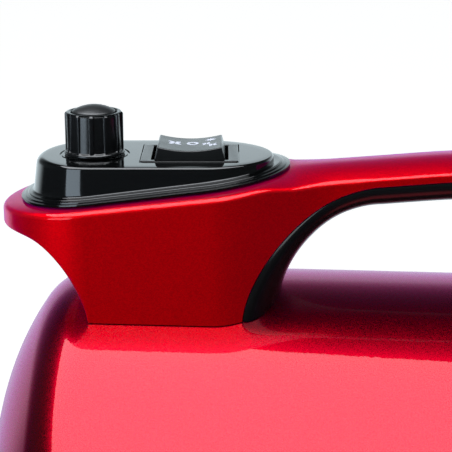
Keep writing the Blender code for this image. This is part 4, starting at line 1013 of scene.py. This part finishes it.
# ---- ends of the canister
def hose_collar():
    """Collar with a rolled hose bead and shallow grip rings round its flange."""
    thickness = 1.5
    face = NOSE_X - GAP - thickness - GAP
    flange = [(21.0, 17.0), (24.0, 17.0), (24.0, 0.0), (35.0, 0.0), (35.0, -2.6), (33.8, -3.8),
              (31.2, -3.95), (30.9, -3.5), (30.2, -3.5), (29.9, -4.05), (27.6, -4.2), (26.4, -6.0)]
    bead = [(25.6, 8.0), (26.6, 6.4), (26.6, 1.0), (25.6, 0.0), (22.6, 0.0)]
    outline = [(radius, face + x) for radius, x in flange]
    outline += [(radius, COLLAR_TIP_X + x) for radius, x in bead]
    piece(turned(rounded(outline, 0.6, 4), AXIS_POINT, segments=144), "hose_spigot",
          "housing", "black_matte", ["hose_collar"], 40.0)


def rear_bezel():
    """Rear housing with a groove at its seam, a rounded end and the hole for the cord sleeve."""
    start, end = CANISTER_END_X, BEZEL_END_X
    rim, corner = canister_radius(start), 9.0
    profile = [(79.4, start - 12.0), (79.4, start + GAP)]
    seam = [(0.3, GAP), (0.0, GAP + 0.3), (0.1, 4.0), (0.65, 4.3), (0.65, 5.3), (0.15, 5.6)]
    profile += [(rim - inset, start + x) for inset, x in seam]
    profile += arc((rim - 0.7 - corner, end - corner), corner, 0.0, 90.0, 12)
    mouth = [(5.4, 0.0), (5.2, 0.5), (4.4, 0.5), (4.2, 0.0), (0.5, 0.0), (0.0, 0.5), (0.0, 28.0)]
    profile += [(BEZEL_BORE + rise, end - depth) for rise, depth in mouth]
    profile += [(52.0, end - 28.0), (52.0, end - 31.0), (60.4, end - 31.0), (60.4, end - 3.0),
                (rim - 11.0, end - 3.0), (rim - 3.6, end - 10.0), (76.6, start), (76.6, start - 12.0)]
    shape = loose_object(turned(profile, AXIS_POINT, segments=144))
    hole = [(0.0, end - 6.0), (6.2, end - 6.0), (6.2, end + 4.0), (0.0, end + 4.0)]
    combine(shape, turned(hole, (0.0, 0.0, AXIS_Z - GLAND_FROM_AXIS), segments=48))
    piece(shape, "rear_housing", "housing", "black_matte", ["rear_bezel"], 32.0)


def cord_gland():
    """Rubber sleeve the mains cord leaves through, with moulded bending ribs."""
    profile = [(4.2, -10.0), (5.8, -10.0), (5.8, GAP), (7.0, GAP), (7.2, 0.6), (7.2, 2.7), (6.9, 3.0)]
    for index in range(4):
        height, radius = 3.6 + 2.5 * index, 6.35 - 0.16 * index
        neck = radius - 0.8
        profile += [(neck, height), (neck, height + 0.8), (radius, height + 1.0), (radius, height + 2.1)]
    profile += [(5.6, 13.9), (4.5, 14.0), (4.2, 13.7)]
    centre = (BEZEL_END_X, 0.0, AXIS_Z - GLAND_FROM_AXIS)
    piece(turned(profile, centre, segments=48), "cord_sleeve", "housing", "black_rubber",
          ["cord_gland"], 40.0)


def add_slot(bm, y, low, high, half, x0, x1):
    """Add the cutter of a straight slot with round ends, through a plate across X."""
    outline = arc((y, high - half), half, 0.0, 180.0, 8) + arc((y, low + half), half, 180.0, 360.0, 8)
    skin([[(x, a, AXIS_Z + b) for a, b in outline] for x in (x0, x1)], bm=bm)


def filter_cover():
    """Round grille with slots, a raised grip bar and a stepped rim."""
    end, rim = BEZEL_END_X, BEZEL_BORE - 0.5
    profile = [(0.0, end), (rim - 2.2, end), (rim - 2.2, end - 17.6), (rim, end - 17.6)]
    face = [(0.0, 0.6), (0.3, 1.4), (0.9, 2.1), (1.8, 2.6), (5.0, 2.6), (5.3, 2.1), (6.1, 2.1), (6.4, 2.6)]
    profile += [(rim - inset, end + x) for inset, x in face] + [(0.0, end + 2.6)]
    shape = loose_object(turned(profile, AXIS_POINT, segments=128))
    slot_count, pitch, slot_half, bridge_half, field = 7, 12.6, 3.0, 4.0, 48.0
    cutter = bmesh.new()
    for index in range(slot_count):
        y = (index - (slot_count - 1) / 2.0) * pitch
        reach = sqrt(field * field - y * y)
        for low, high in ((-reach, -bridge_half), (bridge_half, reach)):
            add_slot(cutter, y, low, high, slot_half, end - 4.0, end + 8.0)
    combine(shape, cutter)
    bar_end = [(24.0, 0.9, 7.6), (23.6, 1.5, 8.4), (22.6, 1.85, 8.9), (21.0, 2.0, 9.0)]
    bar = []
    for y, half, top in [(-y, half, top) for y, half, top in bar_end] + bar_end[::-1]:
        side = [(2.0, half), (top - 0.7, half), (top - 0.2, half * 0.75), (top, half * 0.3)]
        outline = [(x, -z) for x, z in side] + side[::-1]
        bar.append([(end + x, y, AXIS_Z + z) for x, z in outline])
    combine(shape, skin(bar), 'UNION')
    piece(shape, "filter_grille", "filter_lid", "black_matte", ["filter_cover"], 32.0)


def rubber_feet():
    """Feet with a shallow hollow below, a rounded rim and the stem that holds them."""
    profile = [(0.0, 0.5), (3.2, 0.5), (3.6, 0.0)]
    rim = [(1.5, 0.0), (0.9, 0.35), (0.65, 1.0), (0.15, FOOT_HEIGHT - 0.7), (0.25, FOOT_HEIGHT - 0.2),
           (0.7, FOOT_HEIGHT)]
    profile += [(FOOT_RADIUS - inset, height) for inset, height in rim]
    profile += [(FOOT_STEM_RADIUS, FOOT_HEIGHT), (FOOT_STEM_RADIUS, 13.5), (0.0, 14.5)]
    for place, x in FOOT_PLACES.items():
        for side, y in (("left", -FOOT_Y), ("right", FOOT_Y)):
            corner = "%s_%s" % (place, side)
            piece(turned(profile, (x, y, 0.0), 'Z', 64), "foot_" + corner, "housing", "black_rubber",
                  ["rubber_foot_" + corner], 40.0)


# ---- carried-over CAD nodes
def dress_frame():
    """Material for every CAD node; small edge rounding on the ones that can be seen."""
    slots = {part["node"]: part["material_slot"] for part in frame["record"]["subparts"]}
    for node, shape in frame["nodes"].items():
        for index in range(len(shape.material_slots)):
            shape.material_slots[index].material = LOOKS[slots[node]]
    for node, width in (("front_saddle", 0.9), ("rear_saddle", 0.9), ("collar_gasket", 0.2)):
        soften(frame["nodes"][node], width, 3, 35.0)


# ---- room
def softbox(name, place_m, rotation, size_m, radiance, tint, diffuse=False, glossy=True):
    """Rectangular light of an even radiance, left out of one kind of ray."""
    data = bpy.data.lights.new(name, 'AREA')
    data.shape = 'RECTANGLE'
    data.size, data.size_y = size_m
    data.energy = radiance * pi * size_m[0] * size_m[1]
    data.color = tint
    lamp = add_object(name, data)
    lamp.location = place_m
    lamp.rotation_euler = rotation
    lamp.visible_camera = False
    lamp.visible_diffuse = diffuse
    lamp.visible_glossy = glossy


def floor():
    bm = bmesh.new()
    bmesh.ops.create_circle(bm, cap_ends=True, segments=96, radius=FLOOR_RADIUS_M / MM)
    shape = loose_object(bm, "floor")
    material = new_material("floor_look", Roughness=0.9, Base_Color=(0.5, 0.5, 0.5),
                            Emission_Color=(1.0, 1.0, 1.0), Emission_Strength=FLOOR_GLOW)[0]
    shape.data.materials.append(material)
    shape.visible_glossy = False


def elevation_ramp(tree, elevation, stops):
    """Brightness by elevation in degrees, through (degrees, brightness) stops."""
    low, high = stops[0][0], stops[-1][0]
    position = map_range(tree, elevation, low, high)
    node = add_node(tree, "ValToRGB", {"Fac": position})
    ramp = node.color_ramp
    while len(ramp.elements) < len(stops):
        ramp.elements.new(0.5)
    for element, (degrees, level) in zip(ramp.elements, stops):
        element.position = (degrees - low) / (high - low)
        element.color = (level, level, level, 1.0)
    return node.outputs["Color"]


def room():
    """Studio surroundings: bright low backdrop behind and at the left, dark in front and above."""
    world = bpy.data.worlds.new("studio")
    world.use_nodes = True
    bpy.context.scene.world = world
    tree = world.node_tree
    tree.nodes.clear()
    place = add_node(tree, "TexCoord", {}).outputs["Generated"]
    split = add_node(tree, "SeparateXYZ", {"Vector": place})
    elevation = math_node(tree, 'MULTIPLY', math_node(tree, 'ARCSINE', split.outputs["Z"]), 180.0 / pi)
    leftward = map_range(tree, split.outputs["X"], -0.15, -0.65, 0.0, LEFTWARD_LIFT, True)
    back = elevation_ramp(tree, math_node(tree, 'ADD', elevation, leftward), BACK_STOPS)
    front = elevation_ramp(tree, elevation, FRONT_STOPS)
    behind = map_range(tree, split.outputs["Y"], 0.40, 0.72, 0.0, 1.0, True)
    lit = math_node(tree, 'MULTIPLY', back, behind)
    unlit = math_node(tree, 'MULTIPLY', front, math_node(tree, 'SUBTRACT', 1.0, behind))
    level = math_node(tree, 'ADD', lit, unlit)
    tinted = add_node(tree, "VectorMath", {0: level, 1: BACKDROP_TINT}, operation='MULTIPLY')
    camera_ray = add_node(tree, "LightPath", {}).outputs["Is Camera Ray"]
    backdrop = mix_colour(tree, camera_ray, tinted.outputs[0], (1.0, 1.0, 1.0))
    background = add_node(tree, "Background", {"Color": backdrop})
    add_node(tree, "OutputWorld", {"Surface": background.outputs[0]})


def around(azimuth, elevation, distance_m):
    """Place at a distance from the controls; azimuth turns from the front towards the hose end."""
    turn, lift = radians(azimuth), radians(elevation)
    flat = distance_m * cos(lift)
    return (SUBJECT_M[0] - flat * sin(turn), SUBJECT_M[1] - flat * cos(turn),
            SUBJECT_M[2] + distance_m * sin(lift))


def facing(place_m):
    """Rotation that points a lamp at the controls."""
    return (Vector(SUBJECT_M) - Vector(place_m)).to_track_quat('-Z', 'Y').to_euler()


def lights():
    """Overhead and side softboxes that only show in reflections, and a key light that only lights."""
    softbox("overhead_softbox", OVERHEAD_PLACE_M, (0.0, 0.0, OVERHEAD_TURN), OVERHEAD_SIZE_M,
            OVERHEAD_RADIANCE, OVERHEAD_TINT)
    side = around(42.0, 2.0, 1.25)
    softbox("side_softbox", side, facing(side), SIDE_SIZE_M, SIDE_RADIANCE, SIDE_TINT)
    key = around(54.0, 26.0, 1.6)
    softbox("key_light", key, facing(key), KEY_SIZE_M, KEY_RADIANCE, KEY_TINT, True, False)


def camera():
    data = bpy.data.cameras.new("camera")
    data.lens = CAMERA_LENS
    data.sensor_width = CAMERA_SENSOR
    shape = add_object("camera", data)
    shape.location = CAMERA_PLACE_M
    shape.rotation_euler = (CAMERA_PITCH, 0.0, 0.0)
    bpy.context.scene.camera = shape


def build():
    for make in (dress_frame, canister, handle_shell, handle_liner, pod, rocker_frame, rocker,
                 rocker_symbols, knob, hose_collar, rear_bezel, cord_gland, filter_cover, rubber_feet,
                 floor, room, lights, camera):
        make()
    bpy.context.scene.view_settings.view_transform = 'Standard'


build()
